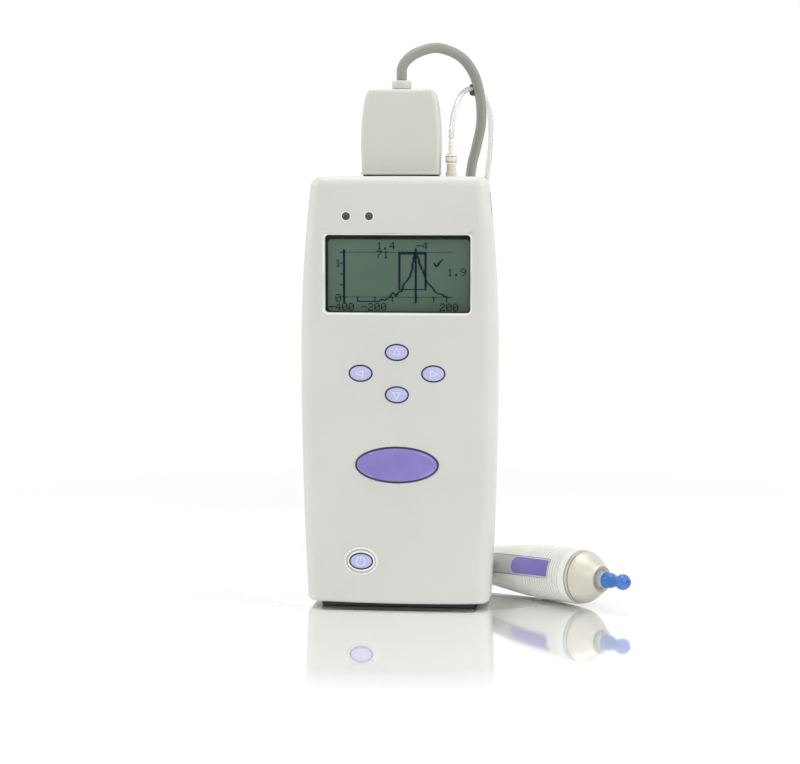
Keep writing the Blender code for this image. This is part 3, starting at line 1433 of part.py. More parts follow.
def boot():
    axis = bpy.data.objects["probe_axis"]
    plug = BOOT_PLUG_RADIUS
    inside = TAIL_LIP + GAP
    profile = [
        (0, -BOOT_LENGTH),
        (BOOT_END_RADIUS, -BOOT_LENGTH),
        (BOOT_END_RADIUS + GAP, -BOOT_LENGTH + BOOT_END_RADIUS / 4),
        (BOOT_RADIUS, -BOOT_LENGTH / 4),
        (BOOT_RADIUS, -GAP),
        (plug, -GAP),
        (plug, inside),
        (BOOT_FLANGE_RADIUS, inside),
        (BOOT_FLANGE_RADIUS, inside + BOOT_FLANGE_THICKNESS),
        (0, inside + BOOT_FLANGE_THICKNESS),
    ]
    piece("probe_boot", turned(profile, 16), "8F918A", 0.7, parent=axis)


def probe_nose():
    frame = probe_frame()
    middle = PROBE_LENGTH
    axis = empty("nose_axis", frame @ Matrix.Translation((0, 0, middle)))
    hole = NECK_RADIUS + GAP
    half_ring = RING_WIDTH / 2
    ring = [
        (hole, -half_ring),
        (RING_RADIUS - GAP / 2, -half_ring),
        (RING_RADIUS, -half_ring / 2),
        (RING_RADIUS, half_ring),
        (hole, half_ring),
    ]
    piece("cone_ring", turned(ring, 28, closed=True), "BFBEB4", 0.35, 1.0, parent=axis)
    low = half_ring + GAP
    shoulder = low + CONE_SHOULDER
    mouth = low + CONE_LENGTH
    hollow = shoulder + GAP
    cone = [
        (hole, low),
        (CONE_RADIUS, low),
        (CONE_RADIUS, low + CONE_SHOULDER / 2),
        (CONE_RADIUS - GAP, shoulder),
        (CONE_MOUTH_RADIUS + GAP, mouth - GAP),
        (CONE_MOUTH_RADIUS - GAP, mouth),
        (CONE_HOLE_RADIUS, mouth - GAP),
        (CONE_HOLE_RADIUS + GAP, mouth - CONE_SHOULDER),
        (hole, hollow),
    ]
    piece("nose_cone", turned(cone, 28, closed=True), "D6D3C6", 0.32, 0.85, parent=axis)
    flange_low = NECK_LENGTH - half_ring
    flange_top = flange_low + COLLAR_FLANGE_THICKNESS
    throat = CONE_HOLE_RADIUS - 2 * GAP
    face = mouth + COLLAR_PROUD
    stem_top = face + STEM_LENGTH
    collar = [
        (SOUND_BORE_RADIUS, flange_low),
        (COLLAR_FLANGE_RADIUS, flange_low),
        (COLLAR_FLANGE_RADIUS, flange_top),
        (COLLAR_FOOT_RADIUS, flange_top),
        (throat, mouth - CONE_SHOULDER * 2),
        (throat, face - GAP),
        (throat - GAP, face),
        (STEM_RADIUS, face),
        (STEM_RADIUS, stem_top),
        (SOUND_BORE_RADIUS, stem_top),
    ]
    piece("probe_tip_collar", turned(collar, 18, closed=True), "8B9294", 0.15, parent=axis)
    foot = face + GAP
    tip = foot + EAR_TIP_LENGTH
    well = STEM_RADIUS + GAP
    well_end = stem_top + GAP
    bulb = EAR_TIP_BULB_RADIUS
    bulb_middle = tip - bulb
    ear_tip = [
        (well, foot),
        (EAR_TIP_FOOT_RADIUS - GAP, foot),
        (EAR_TIP_FOOT_RADIUS, foot + GAP),
        (EAR_TIP_FOOT_RADIUS, foot + EAR_TIP_LENGTH * EAR_TIP_FOOT_SHARE),
        (EAR_TIP_WAIST_RADIUS + GAP, foot + EAR_TIP_LENGTH * EAR_TIP_NECK_SHARE),
        (EAR_TIP_WAIST_RADIUS, foot + EAR_TIP_LENGTH * EAR_TIP_WAIST_SHARE),
    ]
    for step in range(6):
        angle = EAR_TIP_BULB_START + (EAR_TIP_BULB_END - EAR_TIP_BULB_START) * step / 5
        ear_tip.append((bulb * math.cos(angle), bulb_middle + bulb * math.sin(angle)))
    ear_tip += [(SOUND_BORE_RADIUS, tip - GAP), (SOUND_BORE_RADIUS, well_end), (well, well_end)]
    piece("ear_tip", turned(ear_tip, 16, closed=True), "4A82CF", 0.35, parent=axis)


def coil_points():
    """Loops that spiral in on the lower layer, climb, and spiral out on the upper one."""
    start_y = JUNCTION_FRONT_Y + JUNCTION_LENGTH + GAP
    low = lead_height()
    points = [Vector((COIL_X + COIL_OUTER_RADIUS, start_y, low))]
    points.append(Vector((COIL_X + COIL_OUTER_RADIUS, start_y + CABLE_DIAMETER, low)))
    half = COIL_TURNS / 2
    count = round(COIL_TURNS * COIL_POINTS_A_TURN)
    for i in range(count + 1):
        turn = COIL_TURNS * i / count
        inward = turn if turn < half else COIL_TURNS - turn
        radius = COIL_OUTER_RADIUS - COIL_TURN_STEP * inward
        climb = min(max((turn - half) / CLIMB_TURN_SHARE + 0.5, 0), 1)
        angle = 2 * math.pi * turn
        place = (
            COIL_X + radius * math.cos(angle),
            COIL_Y + radius * math.sin(angle),
            low + COIL_LAYER_STEP * climb * climb * (3 - 2 * climb),
        )
        points.append(Vector(place))
    last = points[-1].copy()
    points.append(last - Vector((0, CABLE_DIAMETER, 0)))
    return points


def least_gap(points):
    """The least gap between turns of the coil, measured between their surfaces."""
    apart = COIL_POINTS_A_TURN // 2
    nearest = min(
        (far - near).length for i, near in enumerate(points) for far in points[i + apart :]
    )
    return nearest - CABLE_DIAMETER


def lead_height():
    """The stored coil lies on its tie."""
    return cable_radius + TIE_WALL + GAP


def lead():
    cable_path = smooth_route(CABLE_ROUTE, 2 * CABLE_DIAMETER)
    tube_path = smooth_route(TUBE_ROUTE, 3 * TUBE_DIAMETER)
    cord("cable_run", cable_path, cable_radius, 2, "999B91", 0.5)
    cord("tube_run", tube_path, tube_radius, 2, "EDEDEA", 0.2)
    turns = coil_points()
    print(f"least gap between the coil's turns: {least_gap(turns) / MM:.2f} mm")
    cord("lead_coil", turns, cable_radius, 1, "999B91", 0.5)
    cord("lead_tail", smooth_route(TAIL_ROUTE, 2 * CABLE_DIAMETER), cable_radius, 2, "999B91", 0.5)
    middle = (COIL_X + COIL_OUTER_RADIUS, lead_height())
    rear = JUNCTION_FRONT_Y + JUNCTION_LENGTH
    full = rounded(JUNCTION_WIDTH, JUNCTION_HEIGHT, 2 * JUNCTION_ROUND, middle, 3)
    slim = rounded(JUNCTION_WIDTH * CREST_SHARE, JUNCTION_HEIGHT * CREST_SHARE, JUNCTION_ROUND, middle, 3)
    layers = [
        (slim, JUNCTION_FRONT_Y),
        (full, JUNCTION_FRONT_Y + JUNCTION_ROUND),
        (full, rear - 2 * JUNCTION_ROUND),
        (slim, rear),
    ]
    piece("lead_junction", stacked(layers, on_face), "8F918A", 0.6)
    inner_turn = COIL_OUTER_RADIUS - COIL_TURN_STEP * TIE_TURN
    near = COIL_Y + inner_turn - cable_radius - TIE_SLACK
    far = COIL_Y + COIL_OUTER_RADIUS + cable_radius
    high = lead_height() + COIL_LAYER_STEP + cable_radius + GAP
    low = TIE_WALL
    bundle = ((near + far) / 2, (low + high) / 2)
    gap = rounded(far - near, high - low, TIE_WALL, bundle, 3)
    band = rounded(far - near + 2 * TIE_WALL, high - low + 2 * TIE_WALL, 2 * TIE_WALL, bundle, 3)
    tie = ring_prism(band, gap, COIL_X - TIE_WIDTH / 2, COIL_X + TIE_WIDTH / 2, on_side)
    piece("coil_tie", tie, "2B2C2C", 0.6)
    clip = piece("cord_clip", box(CLIP_LOW_CORNER, CLIP_HIGH_CORNER), "4A4C4A", 0.5)
    cut(clip, "clip_cable_channel", swept(cable_path, cable_radius + GAP))
    cut(clip, "clip_tube_channel", swept(tube_path, tube_radius + GAP))


front_cover()
rear_cover()
base_pad()
display()
main_board()
keypad()
lights()
badge()
infrared_window()
case_screws()
battery_bay()
battery_door()
pump()
connector_panel()
air_port()
hood()
probe_body()
probe_nose()
lead()
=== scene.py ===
import math

import bmesh
import bpy
from mathutils import Matrix, Vector


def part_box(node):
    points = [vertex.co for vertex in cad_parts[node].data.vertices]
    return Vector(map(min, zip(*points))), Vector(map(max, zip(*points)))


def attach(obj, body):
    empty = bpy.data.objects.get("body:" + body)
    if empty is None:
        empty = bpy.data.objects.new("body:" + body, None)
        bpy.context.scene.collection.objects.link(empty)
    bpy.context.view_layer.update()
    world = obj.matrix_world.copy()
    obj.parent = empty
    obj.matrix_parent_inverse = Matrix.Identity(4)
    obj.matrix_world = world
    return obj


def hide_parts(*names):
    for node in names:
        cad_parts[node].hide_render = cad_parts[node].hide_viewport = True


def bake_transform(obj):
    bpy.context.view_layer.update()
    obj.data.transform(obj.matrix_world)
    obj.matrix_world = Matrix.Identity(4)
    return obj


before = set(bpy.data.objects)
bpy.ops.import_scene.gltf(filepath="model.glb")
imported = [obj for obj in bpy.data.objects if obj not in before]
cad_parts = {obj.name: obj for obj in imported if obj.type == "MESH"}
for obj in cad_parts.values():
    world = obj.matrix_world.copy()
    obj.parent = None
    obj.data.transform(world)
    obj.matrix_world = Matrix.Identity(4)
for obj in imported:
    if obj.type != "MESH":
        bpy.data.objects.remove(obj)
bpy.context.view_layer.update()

mm = 0.001  # settings are in millimetres, and the small helpers turn them into metres
scene = bpy.context.scene

# small helpers


def metres(place):
    return tuple(value * mm for value in place)


def inMm(corners):
    return [[value / mm for value in corner] for corner in corners]


def grown(size, margin):
    # a width and a height with the same margin on every side
    return [value + 2 * margin for value in size]


def toLinear(hexColour):
    channels = []
    for start in (0, 2, 4):
        value = int(hexColour[start : start + 2], 16) / 255
        channels.append(value / 12.92 if value <= 0.04045 else ((value + 0.055) / 1.055) ** 2.4)
    return (*channels, 1)


def grey(level):
    return (level, level, level, 1)


def addNode(tree, kind, values=None, feeds=None, **fields):
    # one node: its fields, its socket values, and the sockets that feed it
    node = tree.nodes.new(f"ShaderNode{kind}")
    for field, value in fields.items():
        setattr(node, field, value)
    for socket, value in (values or {}).items():
        node.inputs[socket].default_value = value
    for socket, source in (feeds or {}).items():
        tree.links.new(source, node.inputs[socket])
    return node


def setRamp(node, stops):
    ramp = node.color_ramp
    while len(ramp.elements) > 1:
        ramp.elements.remove(ramp.elements[-1])
    ramp.elements[0].position = stops[0][0]
    ramp.elements[0].color = stops[0][1]
    for place, colour in stops[1:]:
        ramp.elements.new(place).color = colour


def deselectAll():
    if bpy.context.object and bpy.context.object.mode != "OBJECT":
        bpy.ops.object.mode_set(mode="OBJECT")
    bpy.ops.object.select_all(action="DESELECT")


def pick(piece):
    deselectAll()
    piece.select_set(True)
    bpy.context.view_layer.objects.active = piece


def named(name):
    piece = bpy.context.object
    piece.name = name
    piece.data.name = name
    return piece


def openEdit(piece, kind="FACE"):
    pick(piece)
    bpy.ops.object.mode_set(mode="EDIT")
    bpy.ops.mesh.select_mode(type=kind)


def closeEdit():
    bpy.ops.object.mode_set(mode="OBJECT")


def selectAll():
    bpy.ops.mesh.select_all(action="SELECT")


def choose(piece, test, kind="faces"):
    # selects the faces, edges or vertices that pass the test, in edit mode
    bpy.ops.mesh.select_mode(type={"faces": "FACE", "edges": "EDGE", "verts": "VERT"}[kind])
    work = bmesh.from_edit_mesh(piece.data)
    for part in (*work.faces, *work.edges, *work.verts):
        part.select = False
    chosen = [part for part in getattr(work, kind) if test(part)]
    for part in chosen:
        part.select = True
    work.select_flush_mode()
    bmesh.update_edit_mesh(piece.data)
    return len(chosen)


def standsAt(part, axis, level):
    # whether every vertex of an edge or a face is at a level
    return all(abs(vert.co[axis] / mm - level) < 0.01 for vert in part.verts)


def inRow(axis, level):
    # a test for the vertices that levelsOf found at a level
    return lambda vert: round(vert.co[axis] / mm, 2) == level


def levelsOf(piece, axis):
    # the levels, to a hundredth, that the vertices stand at
    work = bmesh.from_edit_mesh(piece.data)
    return sorted({round(vert.co[axis] / mm, 2) for vert in work.verts})


def shift(x, y, z):
    bpy.ops.transform.translate(value=metres((x, y, z)))


def stretch(shares, centre=(0, 0, 0)):
    bpy.ops.transform.resize(value=shares, center_override=metres(centre))


def bevel(width, segments):
    bpy.ops.mesh.bevel(offset=width * mm, segments=segments, affect="EDGES")


def extrude(x, y, z):
    bpy.ops.mesh.extrude_region_move(TRANSFORM_OT_translate={"value": metres((x, y, z))})


def fatten(depth):
    bpy.ops.mesh.extrude_region_shrink_fatten(TRANSFORM_OT_shrink_fatten={"value": depth * mm})


def cutAt(place, normal, **how):
    selectAll()
    bpy.ops.mesh.bisect(plane_co=metres(place), plane_no=normal, **how)


def faceOut():
    selectAll()
    bpy.ops.mesh.normals_make_consistent(inside=False)


def settle(piece):
    # the place goes into the mesh, and the object to the origin
    pick(piece)
    bpy.ops.object.transform_apply(location=True, rotation=True, scale=True)
    return piece


def toMesh(piece):
    pick(piece)
    bpy.ops.object.convert(target="MESH")
    return bpy.context.object


def applyAll(piece):
    pick(piece)
    for modifier in list(piece.modifiers):
        bpy.ops.object.modifier_apply(modifier=modifier.name)
    return piece


def smoothBy(piece, degrees):
    pick(piece)
    bpy.ops.object.shade_smooth_by_angle(angle=math.radians(degrees))
    return piece


def softenEdges(piece, width, segments=2):
    rounding = piece.modifiers.new("edges", "BEVEL")
    rounding.width = width * mm
    rounding.segments = segments
    rounding.limit_method = "ANGLE"
    rounding.angle_limit = math.radians(35)
    return applyAll(piece)


def bore(piece, cutter, operation="DIFFERENCE"):
    step = piece.modifiers.new(cutter.name, "BOOLEAN")
    step.operation = operation
    step.solver = "EXACT"
    step.object = cutter
    applyAll(piece)
    bpy.data.objects.remove(cutter, do_unlink=True)
    return piece


def addBlock(name, low, high):
    deselectAll()
    low, high = metres(low), metres(high)
    bpy.ops.mesh.primitive_cube_add(size=1, location=[(a + b) / 2 for a, b in zip(low, high)])
    piece = named(name)
    piece.scale = [b - a for a, b in zip(low, high)]
    return settle(piece)


def upright(edge, axis):
    # an edge that runs along an axis
    along = edge.verts[0].co - edge.verts[1].co
    return abs(along[axis]) > 0.999 * along.length


def addSlab(name, low, high, corner, axis=1, steps=8):
    # a block with round corners round one axis
    piece = addBlock(name, low, high)
    openEdit(piece)
    choose(piece, lambda edge: upright(edge, axis), "edges")
    bevel(corner, steps)
    closeEdit()
    return piece


def slabOf(name, part, ends="body", grow=0, steps=8):
    # a slab with the part's outline, grown by so much, between two ends along the part's axis
    low, high = [], []
    for middle, size in zip(part["middle"], part["size"]):
        low.append(middle - size / 2 - grow)
        high.append(middle + size / 2 + grow)
    low.insert(part["axis"], part[ends][0])
    high.insert(part["axis"], part[ends][1])
    slab = addSlab(name, low, high, part["corner"] + grow, part["axis"], steps)
    return softenEdges(slab, *part["edge"]) if ends == "body" and "edge" in part else slab


def openFor(part, *shells):
    # an opening with a gap round the part, cut through each shell named
    for shell in shells:
        bore(shell, slabOf("opening", part, "cut", part["gap"]))


def addOval(name, size, middle, depth, sides=48, turn=(math.pi / 2, 0, 0)):
    # an oval rod, along Y unless it is turned otherwise
    deselectAll()
    bpy.ops.mesh.primitive_cylinder_add(
        vertices=sides, radius=0.5, depth=1, location=metres(middle), rotation=turn
    )
    piece = named(name)
    piece.scale = metres((*size, depth))
    return settle(piece)


def addRod(name, size, place, face, back, sides=48):
    # an oval rod that looks forward, from its face to its back
    return addOval(name, size, (place[0], (face + back) / 2, place[1]), back - face, sides)


def addTurned(name, rings, sides=64, closed=True):
    # a circle that is extruded and scaled ring by ring, as (radius, height), round Z
    deselectAll()
    rings = [metres(ring) for ring in rings]
    radius, height = rings[0]
    bpy.ops.mesh.primitive_circle_add(vertices=sides, radius=radius, location=(0, 0, 0), fill_type="NOTHING")
    piece = named(name)
    openEdit(piece, "VERT")
    selectAll()
    bpy.ops.transform.translate(value=(0, 0, height))
    for nextRadius, nextHeight in rings[1:]:
        bpy.ops.mesh.extrude_region_move(TRANSFORM_OT_translate={"value": (0, 0, nextHeight - height)})
        share = nextRadius / radius
        bpy.ops.transform.resize(value=(share, share, 1), center_override=(0, 0, nextHeight))
        radius, height = nextRadius, nextHeight
    choose(piece, lambda edge: len(edge.link_faces) == 1, "edges")
    if closed:
        bpy.ops.mesh.bridge_edge_loops()
    else:
        bpy.ops.mesh.fill_holes(sides=0)
    faceOut()
    closeEdit()
    return piece


def moveTo(piece, matrix):
    piece.matrix_world = matrix
    return settle(piece)


def dress(piece, material):
    piece.data.materials.clear()
    piece.data.materials.append(material)


def finishPiece(piece, material, body, *nodes):
    dress(piece, material)
    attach(piece, body)
    if nodes:
        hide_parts(*nodes)


# camera

view = {
    "place": (104.23, -961.43, 187.45),
    "turn": 6.233,  # degrees to the left
    "tip": 5.26,  # degrees down
    "lens": 97.79,
    "sensor": 36,
    "nearest": 0.05,  # metres
}
bpy.ops.object.select_all(action="DESELECT")
bpy.ops.object.camera_add(
    location=metres(view["place"]), rotation=(math.radians(90 - view["tip"]), 0, math.radians(view["turn"]))
)
camera = bpy.context.object
camera.data.lens = view["lens"]
camera.data.sensor_width = view["sensor"]
camera.data.clip_start = view["nearest"]
scene.camera = camera
print("camera set")

# cords: the probe cable, the clear air tube, and the lead with its coil


def smoothRoute(places, spacing):
    # evenly spaced points on a smooth curve; the first and the last stretch stay straight
    knots = [Vector(place) * mm for place in places]
    dense = [knots[1]]
    for before, start, end, after in zip(knots, knots[1:], knots[2:], knots[3:]):
        for step in range(1, 25):
            t = step / 24
            place = 2 * start + (end - before) * t
            place += (2 * before - 5 * start + 4 * end - after) * t**2
            place += (3 * start - before - 3 * end + after) * t**3
            dense.append(place / 2)
    travel = [0]
    for near, far in zip(dense, dense[1:]):
        travel.append(travel[-1] + (far - near).length)
    count = round(travel[-1] / (spacing * mm))
    points = [knots[0], (knots[0] + knots[1]) / 2]
    index = 0
    for step in range(count + 1):
        wanted = travel[-1] * step / count
        while index < len(dense) - 2 and travel[index + 1] < wanted:
            index += 1
        part = (wanted - travel[index]) / (travel[index + 1] - travel[index])
        points.append(dense[index].lerp(dense[index + 1], part))
    return points + [(knots[-1] + knots[-2]) / 2, knots[-1]]


def routeLength(points):
    return sum((far - near).length for near, far in zip(points, points[1:]))


def addCord(name, points, width, rings=5):
    shape = bpy.data.curves.new(name, "CURVE")
    shape.dimensions = "3D"
    shape.bevel_depth = width * mm / 2
    shape.bevel_resolution = rings
    shape.use_fill_caps = True
    line = shape.splines.new("POLY")
    line.points.add(len(points) - 1)
    for target, point in zip(line.points, points):
        target.co = (*point, 1)
    line.use_smooth = True
    piece = bpy.data.objects.new(name, shape)
    scene.collection.objects.link(piece)
    return piece


cable = {
    "width": 4.6,
    "spacing": 1.6,  # from point to point
    "route": [
        (0, 0, 232.2), (0, 0, 236.8), (2, 1.2, 240.8), (6.8, 4, 244.5), (15.1, 8.8, 246.7),
        (24.6, 13.8, 243.2), (30.5, 17.6, 235.6), (33.2, 21.6, 224.9), (33.4, 24.8, 214),
        (31, 27.7, 203), (28.4, 30.4, 192), (25.6, 36.4, 165), (22.4, 45.2, 130), (19.4, 56, 94),
        (16.8, 68, 59), (14.8, 80.4, 30), (13.9, 92, 10), (13.8, 98.4, 4.6), (13.8, 103.2, 3.4),
        (13.8, 107.8, 3.4),
    ],
}
tube = {
    "width": 2.4,
    "spacing": 2,
    "route": [
        (22, 0, 206.5), (22, 0, 209.4), (22.4, 1.2, 214.6), (23.6, 3.8, 220.6), (26, 11.4, 226.8),
        (29.4, 23, 229.4), (32.6, 27.8, 227.9), (35.4, 30.6, 223.1), (37.1, 32, 216),
        (37.2, 33.4, 206.8), (36.7, 34.4, 199.4), (35.6, 35.6, 192), (33, 39.6, 170),
        (29.6, 47.4, 135), (26.2, 58, 98), (23, 70, 62), (20.4, 82.2, 31), (19.2, 93.2, 10.4),
        (19, 99.6, 4.6), (19, 104.6, 3.4), (19, 107.8, 3.4),
    ],
}
lead = {
    "coilMiddle": (-14, 138),
    "coilRadius": 30,
    "turns": 3.5,
    "pointsATurn": 36,
    "stepIn": 5.2,  # from turn to turn
    "stepUp": 5.2,  # from layer to layer
    "height": 3.4,
    "startY": 123.4,
    "straight": 4.6,
    "spacing": 4,
    "tail": [
        (-44, 132.8, 8.6), (-44, 128.2, 8.6), (-43.9, 116.6, 6.4), (-40.9, 106, 4), (-34.6, 97.2, 3.2),
        (-27, 90.4, 4.5), (-19.8, 84.5, 6.7), (-13.1, 78.59, 8.19), (-9.78, 75.6, 8.36),
    ],
}


def coilPoints():
    middleX, middleY = lead["coilMiddle"]
    radius, low, straight = lead["coilRadius"], lead["height"], lead["straight"]
    points = [Vector((middleX + radius, lead["startY"], low))]
    points.append(Vector((middleX + radius, lead["startY"] + straight, low)))
    half = lead["turns"] / 2
    count = round(lead["turns"] * lead["pointsATurn"])
    for i in range(count + 1):
        turn = lead["turns"] * i / count
        inward = turn if turn < half else lead["turns"] - turn
        reach = radius - lead["stepIn"] * inward
        climb = min(max((turn - half) / 0.5 + 0.5, 0), 1)
        angle = 2 * math.pi * turn
        rise = lead["stepUp"] * climb * climb * (3 - 2 * climb)
        place = (middleX + reach * math.cos(angle), middleY + reach * math.sin(angle), low + rise)
        points.append(Vector(place))
    points.append(points[-1] - Vector((0, straight, 0)))
    return [point * mm for point in points]


cablePath = smoothRoute(cable["route"], cable["spacing"])
tubePath = smoothRoute(tube["route"], tube["spacing"])
leadPath = coilPoints() + smoothRoute(lead["tail"], lead["spacing"])
probeCable = toMesh(addCord("probeCable", cablePath, cable["width"]))
airTube = addCord("airTube", tubePath, tube["width"], 3)
probeLead = addCord("probeLead", leadPath, cable["width"])
for label, path in (("cable", cablePath), ("air tube", tubePath), ("lead", leadPath)):
    print(f"{label} route: {routeLength(path):.4f} m")

# housing: two crowned, barrel-sided half shells

housing = {
    "height": (1.5, 190),
    "waist": (86.6, 110),  # width, and the height that it is at
    "topWidth": 76.8,
    "bottomWidth": 80.8,
    "draft": 1.3,  # the rear half narrows this much on each side
    "front": -20,
    "rear": 20,
    "parting": 1,
    "gap": 0.3,
    "corner": (6.2, 9),  # radius and steps
    "topRound": (4.2, 7),
    "bottomRound": (2.1, 6),
    "faceCrown": 2.4,
    "topCrown": 0.3,
    "bottomCrown": 0.3,
    "wall": 2.2,
    "rows": 30,
    "columns": (5, 6.2),  # on each side of the middle, and their number in half a width
}


def halfWidth(height):
    waist, level = housing["waist"]
    low, high = housing["height"]
    if height > level:
        share = (height - level) / (high - level)
        return (waist - (waist - housing["topWidth"]) * share**2) / 2
    share = (level - height) / (level - low)
    return (waist - (waist - housing["bottomWidth"]) * share**2) / 2


def addShell(name, outer, rim, crown, draft):
    low, high = housing["height"]
    half = housing["waist"][0] / 2
    shell = addBlock(name, (-half, min(outer, rim), low), (half, max(outer, rim), high))
    openEdit(shell)
    choose(shell, lambda edge: upright(edge, 2) and standsAt(edge, 1, outer), "edges")
    bevel(*housing["corner"])
    for level, rounding in ((high, housing["topRound"]), (low, housing["bottomRound"])):
        choose(shell, lambda edge: standsAt(edge, 2, level) and not standsAt(edge, 1, rim), "edges")
        bevel(*rounding)
    choose(shell, lambda face: standsAt(face, 1, rim))
    bpy.ops.mesh.delete(type="FACE")
    rows, (columns, share) = housing["rows"], housing["columns"]
    for i in range(1, rows):
        cutAt((0, 0, low + (high - low) * i / rows), (0, 0, 1))
    for i in range(-columns, columns + 1):
        cutAt((half * i / share, 0, 0), (1, 0, 0))
    upper, lower = high - housing["topRound"][0] * 1.01, low + housing["bottomRound"][0] * 1.01
    for column in levelsOf(shell, 0):
        # the face bows back from the middle, and the top and the foot bow with it
        bow = (column / half) ** 2
        here = inRow(0, column)
        choose(shell, here, "verts")
        stretch((1, 1 - crown * bow / abs(outer - rim), 1), (0, rim, 0))
        choose(shell, lambda vert: here(vert) and vert.co.z > upper * mm, "verts")
        shift(0, 0, -housing["topCrown"] * bow)
        choose(shell, lambda vert: here(vert) and vert.co.z < lower * mm, "verts")
        shift(0, 0, housing["bottomCrown"] * bow)
    for row in levelsOf(shell, 2):
        choose(shell, inRow(2, row), "verts")
        stretch((halfWidth(row) / half, 1, 1))
    for layer in levelsOf(shell, 1) if draft else ():
        choose(shell, inRow(1, layer), "verts")
        stretch((1 - draft / half * (layer - rim) / (outer - rim), 1, 1))
    faceOut()
    closeEdit()
    wall = shell.modifiers.new("wall", "SOLIDIFY")
    wall.thickness = housing["wall"] * mm
    wall.offset = -1
    applyAll(shell)
    openEdit(shell)
    faceOut()
    closeEdit()
    return shell


frontRim, rearRim = (housing["parting"] + side * housing["gap"] / 2 for side in (-1, 1))
frontShell = addShell("frontShell", housing["front"], frontRim, housing["faceCrown"], 0)
rearShell = addShell("rearShell", housing["rear"], rearRim, 0, housing["draft"])
bothShells = (frontShell, rearShell)
print("housing shells made:", *(len(shell.data.polygons) for shell in bothShells))


def faceAt(across):
    # the crowned front face, at a distance from the middle
    return housing["front"] + housing["faceCrown"] * (2 * across / housing["waist"][0]) ** 2


# slabs in openings: middle and size on two axes, and the ends of the body and of the cut along the third
panel = {"axis": 2, "middle": (0, 0), "size": (60, 20), "corner": 2, "gap": 0.3, "edge": (0.3, 2)}
panel.update({"body": (187.53, 189.53), "cut": (182, 194)})
infrared = {"axis": 0, "middle": (5, 177.4), "size": (18, 10.6), "corner": 2, "gap": 0.3, "edge": (0.3, 2)}
infrared.update({"sunk": 0.25, "thick": 1.6, "cut": (34, 48)})
door = {"axis": 1, "middle": (0, 46.55), "size": (59.8, 62.7), "corner": 3, "gap": 0.3, "edge": (0.35, 3)}
door.update({"body": (18, 20), "cut": (14, 24)})
# the rubber foot is grown deeper than its part, so its black also stands for the contact shadow under the
# front edge: partly a real foot, partly painted shadow
foot = {"axis": 2, "middle": (0, 0), "size": (68, 33.6), "corner": 2.2, "gap": 0.3, "edge": (0.4, 2)}
foot.update({"body": (0, 2), "cut": (-2, 2.3)})
window = {"axis": 1, "middle": (0, 147.4), "size": (64, 34), "corner": 1.6, "gap": 0, "cut": (-25, -10)}
window.update({"body": (-18.6, -15.6), "frame": 2.6, "rim": (0.8, 2), "rimLift": 0.03})
openFor(panel, *bothShells)
openFor(infrared, *bothShells)
openFor(door, rearShell)

screws = {
    "across": 31.2,
    "heights": (10.6, 174.5),
    "post": (7.6, 7.6),
    "postY": (9.5, 18.5),
    "bore": (5.6, 5.6),
    "boreY": (12, 22),
    "headY": 3.3,
}
for x in (-screws["across"], screws["across"]):
    for z in screws["heights"]:
        bore(rearShell, addRod("post", screws["post"], (x, z), *screws["postY"], 40), "UNION")
        bore(rearShell, addRod("counterbore", screws["bore"], (x, z), *screws["boreY"], 40))

openFor(foot, *bothShells)
windowFrame = {**window, "size": grown(window["size"], window["frame"])}
bore(frontShell, slabOf("windowFrame", windowFrame), "UNION")
openFor(window, frontShell)

keys = {
    "size": (10.2, 7.1),
    "proud": 0.62,
    "gap": 0.3,
    "rim": 0.375,  # the cap is this much smaller than the key, and the skirt this much larger
    "skirt": 0.23,
    "places": {
        "up": (0, 113.2),
        "down": (0, 94.6),
        "left": (-16, 103.9),
        "right": (16, 103.9),
        "power": (-15.8, 20.7),
    },
    "ring": (14.7, 12.3),
    "ringProud": 0.9,
    "ringBack": -18.4,
    "groove": {"outer": (13.6, 11.2), "inner": (12, 9.1), "depth": 1.3},
    "back": -16.6,
    "sides": 56,
    "edge": (0.9, 5),
    "crown": ((0.6, 0.12), (0.7, 0.12)),  # steps of inset and rise
    "skirtEnds": (0.1, -16.8),  # behind the face, and its back
    "skirtEdge": 0.08,
}
throughFace = (-24, -12)
powerPlace, groove = keys["places"]["power"], keys["groove"]
ringFace, deep = faceAt(powerPlace[0]) - keys["ringProud"], groove["depth"]
# the raised ring round the power key; its near-white colour is a painted highlight on housing plastic
powerRing = addRod("powerRing", keys["ring"], powerPlace, ringFace, keys["ringBack"])
softenEdges(powerRing, 0.4, 3)
grooveCut = addRod("groove", groove["outer"], powerPlace, ringFace - deep, ringFace + deep)
bore(grooveCut, addRod("grooveCore", groove["inner"], powerPlace, ringFace - 2 * deep, ringFace + 2 * deep))
bore(powerRing, grooveCut)
for name, place in keys["places"].items():
    for carrier in (frontShell, powerRing) if name == "power" else (frontShell,):
        bore(carrier, addRod("keyHole", grown(keys["size"], keys["gap"]), place, *throughFace))
smoothBy(powerRing, 40)

lamps = {
    "size": (3.4, 3.4),
    "hole": (3.5, 3.5),
    "ring": (4.44, 4.44),
    "seat": (4.5, 4.5),
    "ringProud": 0.22,
    "ringDeep": 1.6,
    "proud": 0.7,
    "back": -15,
    "places": {"left": (-22.4, 172.6), "right": (-12.2, 172.6)},
    "sides": 40,
    "dome": (1.45, 8),
}
lampRings = []
for name, place in lamps["places"].items():
    face, sides = faceAt(place[0]), lamps["sides"]
    bore(frontShell, addRod("lampSeat", lamps["seat"], place, *throughFace, sides))
    ringEnds = (face - lamps["ringProud"], face + lamps["ringDeep"])
    # a bezel ring round each lamp, coloured near white as a painted highlight
    lampRing = addRod(f"{name}LampRing", lamps["ring"], place, *ringEnds, sides)
    bore(lampRing, addRod("lampHole", lamps["hole"], place, *throughFace, sides))
    lampRings.append(smoothBy(softenEdges(lampRing, 0.16, 3), 40))

